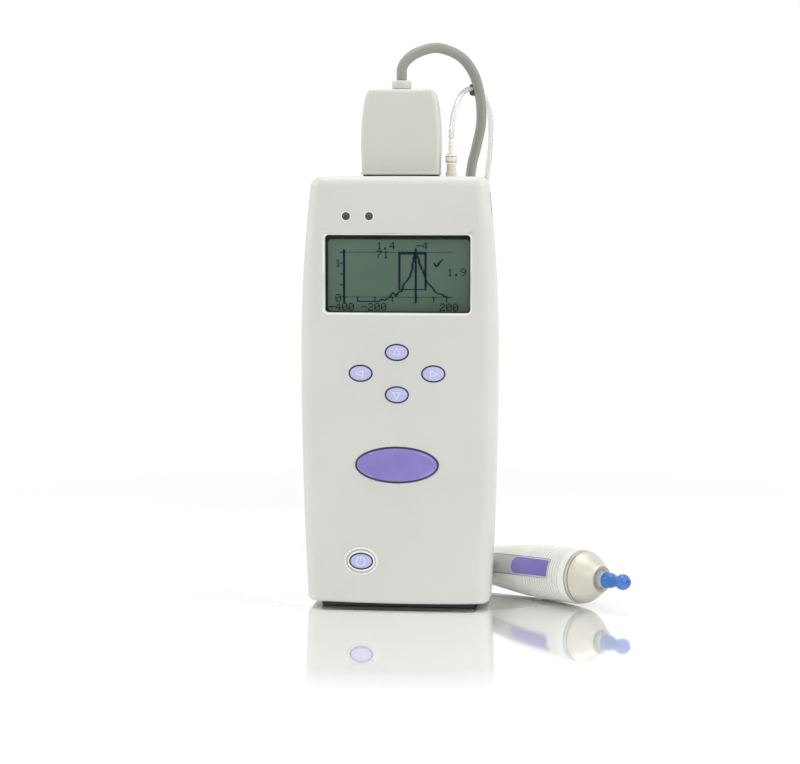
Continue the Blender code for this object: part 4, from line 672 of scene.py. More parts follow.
badge = {
    "size": (36.7, 15.8),
    "place": (0, 63.6),
    "depth": 1,
    "gap": 0.3,
    "rim": 0.6,
    "rimSteps": [(0.15, 0.1)],  # inset and rise
    "domeSteps": [(0.1, 0.16), (0.18, 0.15), (0.3, 0.13), (0.5, 0.12), (0.8, 0.1), (1.2, 0.07), (1.6, 0.04)],
}
badgeFace = faceAt(0)
badgeBack = badgeFace + badge["depth"]
pocketSize = grown(badge["size"], badge["gap"])
bore(frontShell, addRod("badgePocket", pocketSize, badge["place"], badgeFace - 3, badgeBack, 72))


def atWindowEdge(edge):
    # the sharp edges where the crowned face meets the window's opening
    if not edge.is_manifold or edge.calc_face_angle() <= 0.8:
        return False
    (middleX, middleZ), (wide, high) = window["middle"], window["size"]
    for x, y, z in (vert.co / mm for vert in edge.verts):
        if abs(y - faceAt(x)) > 0.2 or abs(x - middleX) > wide / 2 + 0.1 or abs(z - middleZ) > high / 2 + 0.1:
            return False
    return True


# the bevelled edge round the window is copied a hair forward as a sheet coloured near white: a painted
# highlight along the window's rim
openEdit(frontShell)
edgeCount = choose(frontShell, atWindowEdge, "edges")
bevel(*window["rim"])
bpy.ops.mesh.select_mode(type="FACE")
bpy.ops.mesh.duplicate()
shift(0, -window["rimLift"], 0)
bpy.ops.mesh.separate(type="SELECTED")
closeEdit()
windowRimHighlight = next(piece for piece in bpy.context.selected_objects if piece != frontShell)
windowRimHighlight.name = "windowRimHighlight"
windowRimHighlight.data.name = "windowRimHighlight"
smoothBy(windowRimHighlight, 60)
print("housing cut:", *(len(shell.data.polygons) for shell in bothShells), "window edges", edgeCount)

# what the housing carries

lens = addSlab("displayWindow", *inMm(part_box("lcd_lens")), window["corner"])
topPanel = slabOf("topPanel", panel)
basePad = slabOf("basePad", foot)


def bevelFace(piece, face, width, segments):
    # rounds the edge of the piece's front
    openEdit(piece)
    choose(piece, lambda edge: standsAt(edge, 1, face), "edges")
    bevel(width, segments)


def addKey(name, place, proud):
    # an oval cap with a crowned top
    face = faceAt(place[0]) - proud
    key = addRod(name, grown(keys["size"], -keys["rim"]), place, face, keys["back"], keys["sides"])
    bevelFace(key, face, *keys["edge"])
    choose(key, lambda part: standsAt(part, 1, face))
    for inset, rise in keys["crown"]:
        bpy.ops.mesh.inset(thickness=inset * mm)
        shift(0, -rise, 0)
    closeEdit()
    return smoothBy(key, 40)


# each key gets a navy skirt that fills the gap round its cap: partly the skirt's own colour, partly painted
# shade in the gap
keyCaps, keySkirts = {}, {}
for name, place in keys["places"].items():
    raised = keys["ringProud"] if name == "power" else 0
    keyCaps[name] = addKey(f"{name}Key", place, keys["proud"] + raised)
    sunk, back = keys["skirtEnds"]
    face = faceAt(place[0]) - raised + sunk
    skirt = addRod(f"{name}Skirt", grown(keys["size"], keys["skirt"]), place, face, back, keys["sides"])
    keySkirts[name] = softenEdges(skirt, keys["skirtEdge"])

statusLamps = []
for name, place in lamps["places"].items():
    face = faceAt(place[0]) - lamps["proud"]
    lamp = addRod(f"{name}Lamp", lamps["size"], place, face, lamps["back"], 32)
    bevelFace(lamp, face, *lamps["dome"])
    closeEdit()
    statusLamps.append(smoothBy(lamp, 45))


def addDome(name, size, proud, steps):
    # an oval plate whose top is drawn in and raised step by step, as (inset, rise)
    face = badgeFace - proud
    dome = addRod(name, size, badge["place"], face, badgeBack, 96)
    openEdit(dome)
    choose(dome, lambda part: standsAt(part, 1, face))
    for inset, rise in steps:
        extrude(0, -rise, 0)
        smaller = grown(size, -inset)
        stretch((smaller[0] / size[0], 1, smaller[1] / size[1]), (0, 0, badge["place"][1]))
        size = smaller
    closeEdit()
    return smoothBy(dome, 40)


rimSize = grown(badge["size"], -badge["rim"])
badgeRim = addDome("badgeRim", badge["size"], 0.1, badge["rimSteps"])
bore(badgeRim, addRod("rimHole", rimSize, badge["place"], badgeFace - 3, badgeFace + 3, 96))
badgePlate = addDome("badgePlate", grown(rimSize, -0.02), 0.16, badge["domeSteps"])

level = infrared["middle"][1]
outside = halfWidth(level) - infrared["sunk"]
infrared["body"] = (outside - infrared["thick"], outside)
irWindow = slabOf("irWindow", infrared)
openEdit(irWindow)
for row in levelsOf(irWindow, 2):
    # the window leans with the barrel side, and with the draft behind the parting line
    choose(irWindow, inRow(2, row), "verts")
    shift(halfWidth(row) - halfWidth(level), 0, 0)
for layer in levelsOf(irWindow, 1):
    choose(irWindow, inRow(1, layer), "verts")
    share = max(0, (layer - housing["parting"]) / (housing["rear"] - housing["parting"]))
    shift(-housing["draft"] * share, 0, 0)
closeEdit()
smoothBy(irWindow, 35)

doorPanel = slabOf("batteryDoor", door)
print("front and back fittings made")

# plug: two hood halves over the nine-way connector, and the collar that the cable leaves by

hood = {
    "low": 190.6,
    "high": 228,
    "width": 34.8,
    "thickness": 15.5,
    "seam": 0.15,
    "edge": (1.6, 5),
    "lip": {"height": 1.3, "proud": 0.5, "edge": (0.4, 3)},
    "footShadow": {"axis": 2, "middle": (0, 0), "size": (32.8, 14.5), "corner": 1.2, "body": (190, 190.6)},
    "shares": ((0.95, 0), (0.975, 0.03), (1, 0.36), (0.985, 0.62), (0.92, 0.86), (0.86, 0.955), (0.77, 1)),
}


def addHoodHalf(name, side):
    # a block cut level by level and drawn in to the hood's outline
    low, high, half, lip = hood["low"], hood["high"], hood["width"] / 2, hood["lip"]
    reach, seam = side * hood["thickness"] / 2, side * hood["seam"]
    levels = [(share, low + (high - low) * up) for share, up in hood["shares"]]
    piece = addBlock(name, (-half, min(seam, reach), low), (half, max(seam, reach), high))
    openEdit(piece)
    for _, level in levels[1:-1]:
        cutAt((0, 0, level), (0, 0, 1))
    for share, level in levels:
        choose(piece, lambda vert: abs(vert.co.z / mm - level) < 0.01, "verts")
        stretch((share, 1, 1))

    def onRim(edge):
        # the outline of the outer side, but for its foot
        if not standsAt(edge, 1, reach) or len({round(face.normal.y) for face in edge.link_faces}) < 2:
            return False
        return all(vert.co.z > (low + 0.01) * mm for vert in edge.verts)

    choose(piece, onRim, "edges")
    bevel(*hood["edge"])
    closeEdit()
    reach += side * lip["proud"]
    half = half * hood["shares"][0][0] + lip["proud"]
    edging = addBlock("lip", (-half, min(seam, reach), low), (half, max(seam, reach), low + lip["height"]))
    bore(piece, softenEdges(edging, *lip["edge"]), "UNION")
    return smoothBy(piece, 35)


hoodFront = addHoodHalf("hoodFront", -1)
hoodRear = addHoodHalf("hoodRear", 1)
# a black sheet at the hood's foot: painted shadow of the gap between the hood and the housing
hoodFootShadow = slabOf("hoodFootShadow", hood["footShadow"])
glandRings = [
    (2.4, 225.4), (3.1, 225.4), (3.1, 228.3), (4.25, 228.3), (4.25, 231.4), (3.8, 231.9), (2.4, 231.9)
]
gland = smoothBy(softenEdges(addTurned("hoodGland", glandRings, 48), 0.2), 40)
print("plug made")

# probe: everything below is turned round Z and then laid on the table along the probe's own axis

probe = {
    "tail": (5.3, 62, 9.141),
    "heading": -42,
    "pitch": 2.2,
    "roll": 19.5,
    "length": 103,
    "tailRadius": 6.5,
    "gripRadius": 12.3,
    "taper": (
        (0, 0), (0.14, 0.08), (0.28, 0.19), (0.42, 0.38), (0.56, 0.655), (0.7, 0.9), (0.78, 0.98),
        (0.86, 1), (0.94, 0.99), (1, 0.965),
    ),
    "front": 101.8,
    "ribs": 14,
    "ribPitch": 1.55,
    "ribHeight": 0.75,
    "ribShape": ((0, 1), (0.14, 1), (0.24, 0.12), (0.36, 0), (0.76, 0), (0.9, 0.12)),
    "ribsEnd": 98,
    "neckRadius": 9.3,
    "neckEnd": 105.4,
    "seam": 0.15,
}


def probePlace():
    heading, pitch, roll = (math.radians(probe[key]) for key in ("heading", "pitch", "roll"))
    level = Vector((math.cos(heading), math.sin(heading), 0))
    along = level * math.cos(pitch) + Vector((0, 0, 1)) * math.sin(pitch)
    side = Vector((0, 0, -1)).cross(level)
    label = side * math.cos(roll) + side.cross(along) * math.sin(roll)
    place = Matrix((label, along.cross(label), along)).transposed().to_4x4()
    place.translation = Vector(metres(probe["tail"]))
    return place


def gripRadius(along):
    share = min(max(along / probe["length"], 0), 1)
    for (near, low), (far, high) in zip(probe["taper"], probe["taper"][1:]):
        if share <= far:
            part = low + (high - low) * (share - near) / (far - near)
            return probe["tailRadius"] + (probe["gripRadius"] - probe["tailRadius"]) * part


def gripRings():
    # the outside from tail to neck, with ribs before the ring
    front, ribsEnd, pitch, height = (probe[key] for key in ("front", "ribsEnd", "ribPitch", "ribHeight"))
    ribsStart = ribsEnd - probe["ribs"] * pitch
    rings = [(3.7, 0), (gripRadius(0) - 0.9, 0), (gripRadius(0) - 0.26, 0.26), (gripRadius(1), 0.9)]
    rings += [(gripRadius(at), at) for at in range(4, int(ribsStart) - 1, 4)]
    for i in range(probe["ribs"]):
        for step, drop in probe["ribShape"]:
            at = ribsStart + i * pitch + step * pitch
            rings.append((gripRadius(at) - drop * height, at))
    rings += [(gripRadius(ribsEnd) - height, ribsEnd), (gripRadius(ribsEnd), ribsEnd + 0.3)]
    rings += [(gripRadius(at), at) for at in (front - 2.4, front - 0.3)]
    rings += [(gripRadius(front) - 0.3, front), (probe["neckRadius"], front)]
    return rings + [(probe["neckRadius"], probe["neckEnd"])]


def addHalfShell(name, facing):
    shell = addTurned(name, gripRings(), 96, closed=False)
    openEdit(shell)
    cutAt((facing * probe["seam"], 0, 0), (facing, 0, 0), use_fill=True, clear_inner=True)
    closeEdit()
    return smoothBy(moveTo(shell, onProbe), 35)


onProbe = probePlace()
labelShell = addHalfShell("labelShell", 1)
backShell = addHalfShell("backShell", -1)

# the rings, as (radius, place along the probe), of the pieces at its two ends
ringRings = [(9.6, 102.3), (11.6, 102.3), (11.75, 102.45), (11.75, 103.55), (11.6, 103.7), (9.6, 103.7)]
coneRings = [(9.6, 104), (11.38, 104), (11.5, 104.15), (11.5, 104.9)]
for i in range(1, 9):
    # a convex shoulder that straightens towards the mouth
    coneRings.append((11.5 - 5.55 * (i / 8) ** 1.2, 104.9 + 8.9 * i / 8))
coneRings += [(5.87, 114.08), (5.78, 114.2), (5.66, 114.2), (5.62, 114.05), (5.2, 112.6), (9.6, 106.3)]
mouthRings = [(4.45, 114.12), (5.5, 114.12), (5.6, 114.05), (5.6, 113.6), (4.35, 113.6), (4.35, 114.02)]
collarRings = [
    (0.6, 105.7), (8.4, 105.7), (8.4, 106.7), (6, 107.2), (4.7, 111.4), (4.7, 113.2), (4.45, 113.5),
    (4.25, 113.4), (4.22, 114.9), (4.14, 115), (4, 115), (3.96, 113.7), (3.82, 113.7), (3.8, 116.5),
    (3.72, 116.65), (3.5, 116.65), (3.45, 116.5), (3.45, 115.6), (1.6, 115.6), (1.6, 122.6), (0.6, 122.6),
]
tipRings = [(1.9, 115.9), (3.2, 115.9), (3.4, 116.15), (3.4, 119.4)]
tipRings += [(3.25, 120.2), (2.85, 121.1), (2.58, 122), (2.5, 122.8)]
for step in range(10):
    angle = math.radians(-40 + 96 * step / 9)
    tipRings.append((3.5 * math.cos(angle), 126.6 + 3.5 * math.sin(angle)))
tipRings += [(1.75, 129.75), (1.6, 129.7), (1.55, 129.3), (0.35, 129.35), (0.3, 129.2)]
tipRings += [(0.3, 122.9), (1.9, 122.9)]
bootRings = [
    (2.4, -20), (3.2, -20), (3.5, -19.6), (4, -14), (4.5, -9), (4.9, -5), (5, -0.6), (4.8, -0.3),
    (3.4, -0.3), (2.4, -0.3),
]
ring, cone, mouthRim, collar, earTip, boot = (
    addTurned(name, rings, sides)
    for name, rings, sides in (
        ("coneRing", ringRings, 96),
        ("noseCone", coneRings, 96),
        ("mouthRim", mouthRings, 96),
        ("tipCollar", collarRings, 64),
        ("earTip", tipRings, 64),
        ("tailBoot", bootRings, 64),
    )
)
ducts = {"turns": (45, 135, 225, 315), "out": 0.92, "size": (0.66, 0.66), "along": 129, "deep": 3}
for turn in ducts["turns"]:
    # the four ducts that open in the front of the tip
    x, y = (ducts["out"] * way(math.radians(turn)) for way in (math.cos, math.sin))
    bore(earTip, addOval("duct", ducts["size"], (x, y, ducts["along"]), ducts["deep"], 16, (0, 0, 0)))
for part in (ring, cone, mouthRim, collar, earTip, boot):
    smoothBy(moveTo(part, onProbe), 35)
print("probe made")

# small parts of the plug, the air line and the lead

portX = 22 * mm  # in metres, as the faces of the lock ring are measured in them


def addFitting(name, rings, sides=48):
    # a turned fitting that stands on the panel at the air port
    piece = addTurned(name, rings, sides)
    piece.location = (portX, 0, 0)
    return smoothBy(settle(piece), 35)


portRings = [
    (0.7, 187.7), (1.9, 187.7), (1.9, 189.83), (2.4, 189.83), (2.4, 191.6), (2.2, 191.83),
    (2.1, 191.9), (2.0, 193), (1.95, 195.53), (1.1, 195.53), (0.7, 195.53),
]
lockRings = [(1.3, 195.83), (2.25, 195.83), (2.4, 195.98), (2.4, 198.88), (2.25, 199.03), (1.3, 199.03)]
barbRings = [(0.6, 199.33), (1.9, 199.33), (1.9, 200.1), (1.1, 200.2)]
for level in (201.6, 203.3, 205.0):
    barbRings += [(1.0, level - 0.5), (1.36, level), (1.3, level + 0.15), (1.0, level + 1.1)]
barbRings += [(0.85, 206.75), (0.6, 206.8)]
port = addFitting("airPort", portRings)
lockRing = addFitting("lockRing", lockRings, 72)


def isGripRib(face):
    # the outside above the lower band, one face in three
    middle = face.calc_center_median()
    out = middle.xy - Vector((portX, 0))
    if middle.z <= 196.2 * mm or abs(face.normal.z) >= 0.2 or out.length <= 2.3 * mm:
        return False
    return round(out.angle_signed(Vector((1, 0))) * 36 / math.pi) % 3 == 0


openEdit(lockRing)
choose(lockRing, isGripRib)
fatten(0.12)
closeEdit()
# two thin brown rings round the lock ring: painted shadow lines in place of the grooves, which are not
# modelled
grooveShadowRings = []
for index, height in enumerate((196.2, 198.7)):
    deselectAll()
    bpy.ops.mesh.primitive_torus_add(
        major_radius=2.42 * mm,
        minor_radius=0.17 * mm,
        major_segments=64,
        minor_segments=8,
        location=(portX, 0, height * mm),
    )
    grooveShadowRings.append(smoothBy(settle(named(f"ringBand{index + 1}")), 60))
barb = addFitting("tubeBarb", barbRings)

cordClip = softenEdges(addSlab("cordClip", *inMm(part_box("cord_clip")), 0.9, steps=4), 0.3)
for label, path, width in (("cable", cablePath, cable["width"]), ("tube", tubePath, tube["width"])):
    bore(cordClip, toMesh(addCord(f"{label}Channel", path, width + 0.6, 4)))

low, high = inMm(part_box("lead_junction"))
junction = addSlab("leadJunction", low, high, 2.6, steps=6)
grooves = {"shares": (0.16, 0.24, 0.32, 0.4), "wide": 0.5, "deep": 0.45}
levels = [high[1] - (high[1] - low[1]) * share for share in grooves["shares"]]


def inGroove(face):
    across = face.calc_center_median().y / mm
    return level < across < level + grooves["wide"] and abs(face.normal.y) < 0.5


openEdit(junction)
for level in levels:
    cutAt((0, level, 0), (0, 1, 0))
    cutAt((0, level + grooves["wide"], 0), (0, 1, 0))
for level in levels:
    # moulded grooves that let the overmould bend
    choose(junction, inGroove)
    fatten(-grooves["deep"])
closeEdit()
smoothBy(softenEdges(junction, 0.35), 35)

low, high = inMm(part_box("coil_tie"))
tieWall = 0.8
coilTie = addSlab("coilTie", low, high, 1.6, 0, 6)
hole = (low[0] - 1, low[1] + tieWall, low[2] + tieWall), (high[0] + 1, high[1] - tieWall, high[2] - tieWall)
bore(coilTie, addSlab("tieHole", *hole, 0.9, 0, 6))
smoothBy(softenEdges(coilTie, 0.15), 35)

# battery door: three grip ribs near its head, and the hooks at its foot

doorFoot, doorHead = (door["middle"][1] + side * door["size"][1] / 2 for side in (-1, 1))
for drop in (3.2, 6.4, 9.6):
    rib = {"axis": 1, "middle": (0, doorHead - drop), "size": (14, 0.9), "corner": 0.4, "body": (19, 20.2)}
    bore(doorPanel, slabOf("gripRib", rib, steps=4), "UNION")
hooks = {"out": 14.95, "half": 4, "hook": (16.5, 17.5), "web": (17, 18.3), "drop": 2.2, "rise": 1}
top = doorFoot + hooks["rise"]
for x in (-hooks["out"], hooks["out"]):
    left, right = x - hooks["half"], x + hooks["half"]
    for name, drop in (("hook", hooks["drop"]), ("web", 0)):
        near, far = hooks[name]
        bore(doorPanel, addBlock(name, (left, near, doorFoot - drop), (right, far, top)), "UNION")

# case screws, deep in their counterbores

caseScrews = []
screwRings = [(0.01, 0), (1.4, 0), (1.4, 9), (2.3, 9), (2.3, 9.9), (2, 10.5), (1.2, 10.8), (0.01, 10.8)]
for z in screws["heights"]:
    for x in (-screws["across"], screws["across"]):
        head = addTurned(f"caseScrew{len(caseScrews) + 1}", screwRings, 32, closed=False)
        for turn in (0, 90):
            slot = addBlock("slot", (-1.3, -0.28, 9.9), (1.3, 0.28, 12))
            slot.rotation_euler.z = math.radians(turn)
            bore(head, settle(slot))
        head.rotation_euler.x = math.radians(-90)
        head.location = metres((x, screws["headY"], z))
        caseScrews.append(smoothBy(settle(head), 35))

# label strip: a thin band let into the label shell, with rounded ends and a plain coloured patch

strip = {"start": 12, "end": 92.4, "width": 8.4, "corners": (1.3, 1.3), "gap": 0.3}
strip.update({"thick": 0.5, "proud": 0.04})
patch = {"start": 68.2, "end": 92.2, "width": 8.2, "corners": (3.4, 1.3), "edge": 0.3}
patch.update({"sunk": 0.1, "edgeProud": 0.04, "proud": 0.07})


def addBand(name, part, low, high, grow=0):
    # a ring that follows the grip from low to high, cut down to the part's strip, grown by so much
    start, end, half = part["start"] - grow, part["end"] + grow, part["width"] / 2 + grow
    levels = [start + (end - start) * i / 24 for i in range(25)]
    outline = [(gripRadius(at) + high, at) for at in levels]
    outline += [(gripRadius(at) + low, at) for at in reversed(levels)]
    band = addTurned(name, outline, 144)
    openEdit(band, "VERT")
    cuts = [((0, 0, 0), (-1, 0, 0)), ((0, half, 0), (0, 1, 0)), ((0, -half, 0), (0, -1, 0))]
    for tip, outward, corner in zip((start, end), (-1, 1), part["corners"]):
        # each corner is rounded by cuts that lie along its arc
        corner += grow
        for side in (-1, 1):
            for angle in (math.radians(degrees) for degrees in range(9, 90, 18)):
                y, z = side * math.cos(angle), outward * math.sin(angle)
                middle = (0, side * (half - corner) + y * corner, tip - outward * corner + z * corner)
                cuts.append((middle, (0, y, z)))
    for place, normal in cuts:
        cutAt(place, normal, use_fill=True, clear_outer=True)
    faceOut()
    closeEdit()
    return moveTo(band, onProbe)


proud, thick = strip["proud"], strip["thick"]
bore(labelShell, addBand("pocket", strip, -thick - strip["gap"], 2, strip["gap"]))
smoothBy(labelShell, 35)
labelStrip = smoothBy(addBand("labelStrip", strip, -thick, proud), 35)
patchEdge = addBand("patchEdge", patch, proud - patch["sunk"], proud + patch["edgeProud"])
colourPatch = addBand("colourPatch", patch, proud - patch["sunk"], proud + patch["proud"], -patch["edge"])
print("fittings, screws and label strip made")

# display: a dark border, printed round the glass and widest at the top where it stands for painted shadow
# from the recess, and a graph and plain numbers in square dots on grey-green glass

display = {
    "pitch": 0.48,  # from dot to dot
    "dot": 0.455,
    "columns": 132,
    "rows": 70,
    "lift": 0.12,  # in front of the glass
    "border": (0.3, 0.1),  # its front and back, before the glass
    "borderSize": (66, 36),
    "hole": {"middle": (0.2, 146.6), "size": (62.6, 31.6), "cut": (-20, -10)},
}
pitch, columnCount, rowCount = (display[key] for key in ("pitch", "columns", "rows"))
glassY = inMm(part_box("lcd_module"))[0][1]
# the hole sits low in the border, so the wide top band paints the shadow that the window's upper edge casts
# into the recess
border = {**window, "size": display["borderSize"], "body": [glassY - out for out in display["border"]]}
displayBorderAndShadow = slabOf("displayBorderAndShadow", border)
openFor({**window, **display["hole"]}, displayBorderAndShadow)

digitRows = {
    "0": ("01110", "10001", "10011", "10101", "11001", "10001", "01110"),
    "1": ("00100", "01100", "00100", "00100", "00100", "00100", "01110"),
    "2": ("01110", "10001", "00001", "00110", "01000", "10000", "11111"),
    "4": ("00010", "00110", "01010", "10010", "11111", "00010", "00010"),
    "7": ("11111", "00001", "00010", "00100", "01000", "01000", "01000"),
    "9": ("01110", "10001", "10001", "01111", "00001", "00010", "01100"),
    "-": ("00000", "00000", "00000", "11111", "00000", "00000", "00000"),
    ".": ("00000", "00000", "00000", "00000", "00000", "01100", "01100"),
}


def digitDots(text, column, row):
    # the usual five by seven dot figures, from a column and a row at their foot
    dots = set()
    for index, sign in enumerate(text):
        for down, line in enumerate(digitRows[sign]):
            for across, mark in enumerate(line):
                if mark == "1":
                    dots.add((column + 6 * index + across, row + 6 - down))
    return dots


def lineDots(start, end, step=1):
    # a line from dot to dot
    columns, rows = end[0] - start[0], end[1] - start[1]
    count = max(abs(columns), abs(rows), 1)
    places = [i / count for i in range(0, count + 1, step)]
    return {(round(start[0] + columns * share), round(start[1] + rows * share)) for share in places}


def traceDots(*places):
    # a line through the places, two dots wide
    dots = set()
    for start, end in zip(places, places[1:]):
        dots |= lineDots(start, end)
    return dots | {(column + 1, row) for column, row in dots}


readings = (
    ("1.4", 46, 57), ("-4", 82, 57), ("71", 46, 49), ("1.9", 111, 33), ("1", 8, 41), ("0", 8, 9),
    ("-400", 2, 1), ("-200", 32, 1), ("200", 104, 1),
)
tympanogram = [
    (28, 9), (38, 9), (47, 9), (50, 11), (53, 10), (57, 13), (60, 17), (63, 14), (66, 18), (68, 18),
    (69, 23), (72, 27), (76, 32), (78, 40), (79, 48), (80, 53), (83, 50), (85, 42), (88, 36), (91, 27),
    (96, 22), (100, 17), (104, 16), (108, 14), (111, 13),
]
axisLines = ((15, 8), (15, 56)), ((81, 8), (81, 57))
normalBox = ((66, 20), (66, 53), (90, 53), (90, 20), (66, 20))
tick = ((98, 44), (100, 41), (105, 47))
dots = set()
for reading in readings:
    dots |= digitDots(*reading)
for trace in (*axisLines, normalBox, tympanogram, tick):
    dots |= traceDots(*trace)
for level in (13, 24, 34, 44, 54):
    dots |= lineDots((12, level), (16, level))
for column in (28, 44, 60, 98, 110):
    dots |= lineDots((column, 9), (column, 13))
dots |= lineDots((17, 13), (116, 13), 2) | lineDots((17, 54), (116, 54), 2)
dots |= lineDots((66, 54), (91, 54)) | lineDots((67, 52), (90, 52), 2)

deselectAll()
bpy.ops.mesh.primitive_grid_add(
    x_subdivisions=columnCount,
    y_subdivisions=rowCount,
    size=1,
    location=metres((0, glassY - display["lift"], window["middle"][1])),
    rotation=(math.pi / 2, 0, 0),
)
displayDots = named("displayDots")
displayDots.scale = (columnCount * pitch * mm, rowCount * pitch * mm, 1)
settle(displayDots)


def dotOf(face):
    # the column and the row of a square of the grid
    place = face.calc_center_median() / mm
    across, up = place.x / pitch, (place.z - window["middle"][1]) / pitch
    return math.floor(across + columnCount / 2), math.floor(up + rowCount / 2)


openEdit(displayDots)
choose(displayDots, lambda face: dotOf(face) not in dots)
bpy.ops.mesh.delete(type="FACE")
selectAll()
bpy.ops.mesh.inset(thickness=(pitch - display["dot"]) / 2 * mm, use_individual=True)
bpy.ops.mesh.select_all(action="INVERT")
bpy.ops.mesh.delete(type="FACE")
closeEdit()
print("display drawn:", len(displayDots.data.polygons), "dots")

# key marks: raised outlines of an arrow head on four keys, and an open ring with a bar on the power key

marks = {
    "arrow": {"sides": 3, "reach": 2.35, "width": 0.42},
    "ring": {"sides": 32, "reach": 2.2, "width": 0.5},
    "turns": {"up": 0, "down": math.pi, "left": -math.pi / 2, "right": math.pi / 2},
    "upright": (0.95, 1),
    "sideways": (1.12, 0.76),
    "sunk": 0.06,
    "thick": 0.1,
}


def keyTop(name):
    return min(vert.co.y for vert in keyCaps[name].data.vertices) / mm


def addMark(name, shape, key, turn=0, shares=(1, 1)):
    # a polygon's outline that stands a little proud of the key
    deselectAll()
    bpy.ops.mesh.primitive_circle_add(
        vertices=shape["sides"], radius=shape["reach"] * mm, fill_type="NGON", rotation=(math.pi / 2, 0, 0)
    )
    mark = settle(named(name))
    openEdit(mark)
    selectAll()
    bpy.ops.mesh.inset(thickness=shape["width"] * mm)
    bpy.ops.mesh.delete(type="FACE")
    selectAll()
    extrude(0, -marks["thick"], 0)
    faceOut()
    closeEdit()
    mark.rotation_euler.y = turn
    settle(mark)
    x, z = keys["places"][key]
    mark.scale = (shares[0], 1, shares[1])
    mark.location = metres((x, keyTop(key) + marks["sunk"], z))
    return settle(mark)


keyMarks = {}
for name, turn in marks["turns"].items():
    shares = marks["upright"] if name in ("up", "down") else marks["sideways"]
    keyMarks[name] = addMark(f"{name}Mark", marks["arrow"], name, turn, shares)
(x, z), top = powerPlace, keyTop("power")
powerMark = addMark("powerMark", marks["ring"], "power")
bore(powerMark, addBlock("gapAbove", (x - 0.8, top - 1, z + 0.6), (x + 0.8, top + 1, z + 3)))
powerBar = addBlock("powerBar", (x - 0.25, top - 0.04, z + 0.3), (x + 0.25, top + 0.06, z + 2.3))
print("keys marked")

# materials


def startTree(name):
    material = bpy.data.materials.new(name)
    material.use_nodes = True
    material.node_tree.nodes.clear()
    return material, material.node_tree


def placeInMm(tree):
    # places in millimetres on the piece
    place = addNode(tree, "TexCoord").outputs["Object"]
    return addNode(tree, "Mapping", {"Scale": (1000, 1000, 1000)}, {"Vector": place}).outputs[0]


def startMaterial(name, **values):
    # a Principled surface with its output
    material, tree = startTree(name)
    surface = addNode(tree, "BsdfPrincipled", values)
    addNode(tree, "OutputMaterial", feeds={"Surface": surface.outputs[0]})
    return material, tree, surface, placeInMm(tree)


def noiseAt(tree, place, size, detail=2, rough=0.5):
    # soft noise whose lumps are about so many millimetres across
    values = {"Scale": 1 / size, "Detail": detail, "Roughness": rough}
    return addNode(tree, "TexNoise", values, {"Vector": place}).outputs[0]


def blendTones(tree, factor, darker, lighter):
    ramp = addNode(tree, "ValToRGB", feeds={"Fac": factor})
    setRamp(ramp, [(0.3, toLinear(darker)), (0.7, toLinear(lighter))])
    return ramp.outputs[0]


def spread(tree, value, fromLow, fromHigh, low, high):
    ends = {"From Min": fromLow, "From Max": fromHigh, "To Min": low, "To Max": high}
    return addNode(tree, "MapRange", ends, {"Value": value}).outputs[0]


def reckon(tree, operation, *terms, **fields):
    # a sum, a product or the like, of sockets and numbers
    node = addNode(tree, "Math", operation=operation, **fields)
    for index, term in enumerate(terms):
        if isinstance(term, (int, float)):
            node.inputs[index].default_value = term
        else:
            tree.links.new(term, node.inputs[index])
    return node.outputs[0]


def bumpBy(tree, surface, height, depth, strength):
    bump = addNode(tree, "Bump", {"Strength": strength, "Distance": depth * mm}, {"Height": height})
    tree.links.new(bump.outputs[0], surface.inputs["Normal"])


def wornSurface(name, tones, gloss, drift, wear, grain, depth, strength, **values):
    # two tones, a range of gloss and a bump, each led by a noise of its own, as (size, detail, roughness)
    material, tree, surface, place = startMaterial(name, **values)
    tree.links.new(blendTones(tree, noiseAt(tree, place, *drift), *tones), surface.inputs["Base Color"])
    tree.links.new(spread(tree, noiseAt(tree, place, *wear), 0.3, 0.7, *gloss), surface.inputs["Roughness"])
    bumpBy(tree, surface, noiseAt(tree, place, *grain), depth, strength)
    return material


def mouldedResin(name, darker, lighter, gloss, grain, depth, **values):
    # moulded plastic: spark-eroded grain, a slow drift of tone, and gloss that varies as handling leaves it
    noises = (38, 3), (9, 4, 0.6), (grain, 3, 0.65)
    return wornSurface(name, (darker, lighter), gloss, *noises, depth, 0.6, IOR=1.5, **values)


def workedMetal(name, darker, lighter, gloss, pitch, depth, metallic=1.0):
    # turned or rolled metal: fine grain, and a drift of tone and gloss
    noises = (6, 3), (2.5, 3), (pitch, 4, 0.7)
    return wornSurface(name, (darker, lighter), gloss, *noises, depth, 0.5, Metallic=metallic)


def clearPlastic(name, tint, rough, weight, ior=1.49, **values):
    # clear moulded plastic: light goes through, with faint flow lines in the surface
    values.update({"Transmission Weight": weight, "Base Color": toLinear(tint)})
    material, tree, surface, place = startMaterial(name, IOR=ior, Roughness=rough, **values)
    bumpBy(tree, surface, noiseAt(tree, place, 5), 0.01, 0.3)
    return material


housingAbs = mouldedResin("absHousingSparkTexture", "d3d4ce", "d9dad4", (0.36, 0.46), 0.45, 0.012)
panelAbs = mouldedResin("absPanelSparkTexture", "d4d4cc", "dadad2", (0.34, 0.44), 0.45, 0.01)
hoodAbs = mouldedResin("absHoodSparkTexture", "cfcfc7", "d6d6cd", (0.38, 0.48), 0.5, 0.014)
probeAbs = mouldedResin("absProbeSatin", "e6e7e0", "ecede6", (0.26, 0.36), 0.4, 0.006)
trayAbs = mouldedResin("absTrayBlack", "1d1e1f", "262728", (0.45, 0.6), 0.5, 0.012)
# near white, lighter than the housing: a painted highlight on the window's rim, the lamp rings and the power
# ring
highlightWhite = mouldedResin("paintedHighlightWhite", "f4f5ef", "fbfcf6", (0.3, 0.4), 0.4, 0.003)
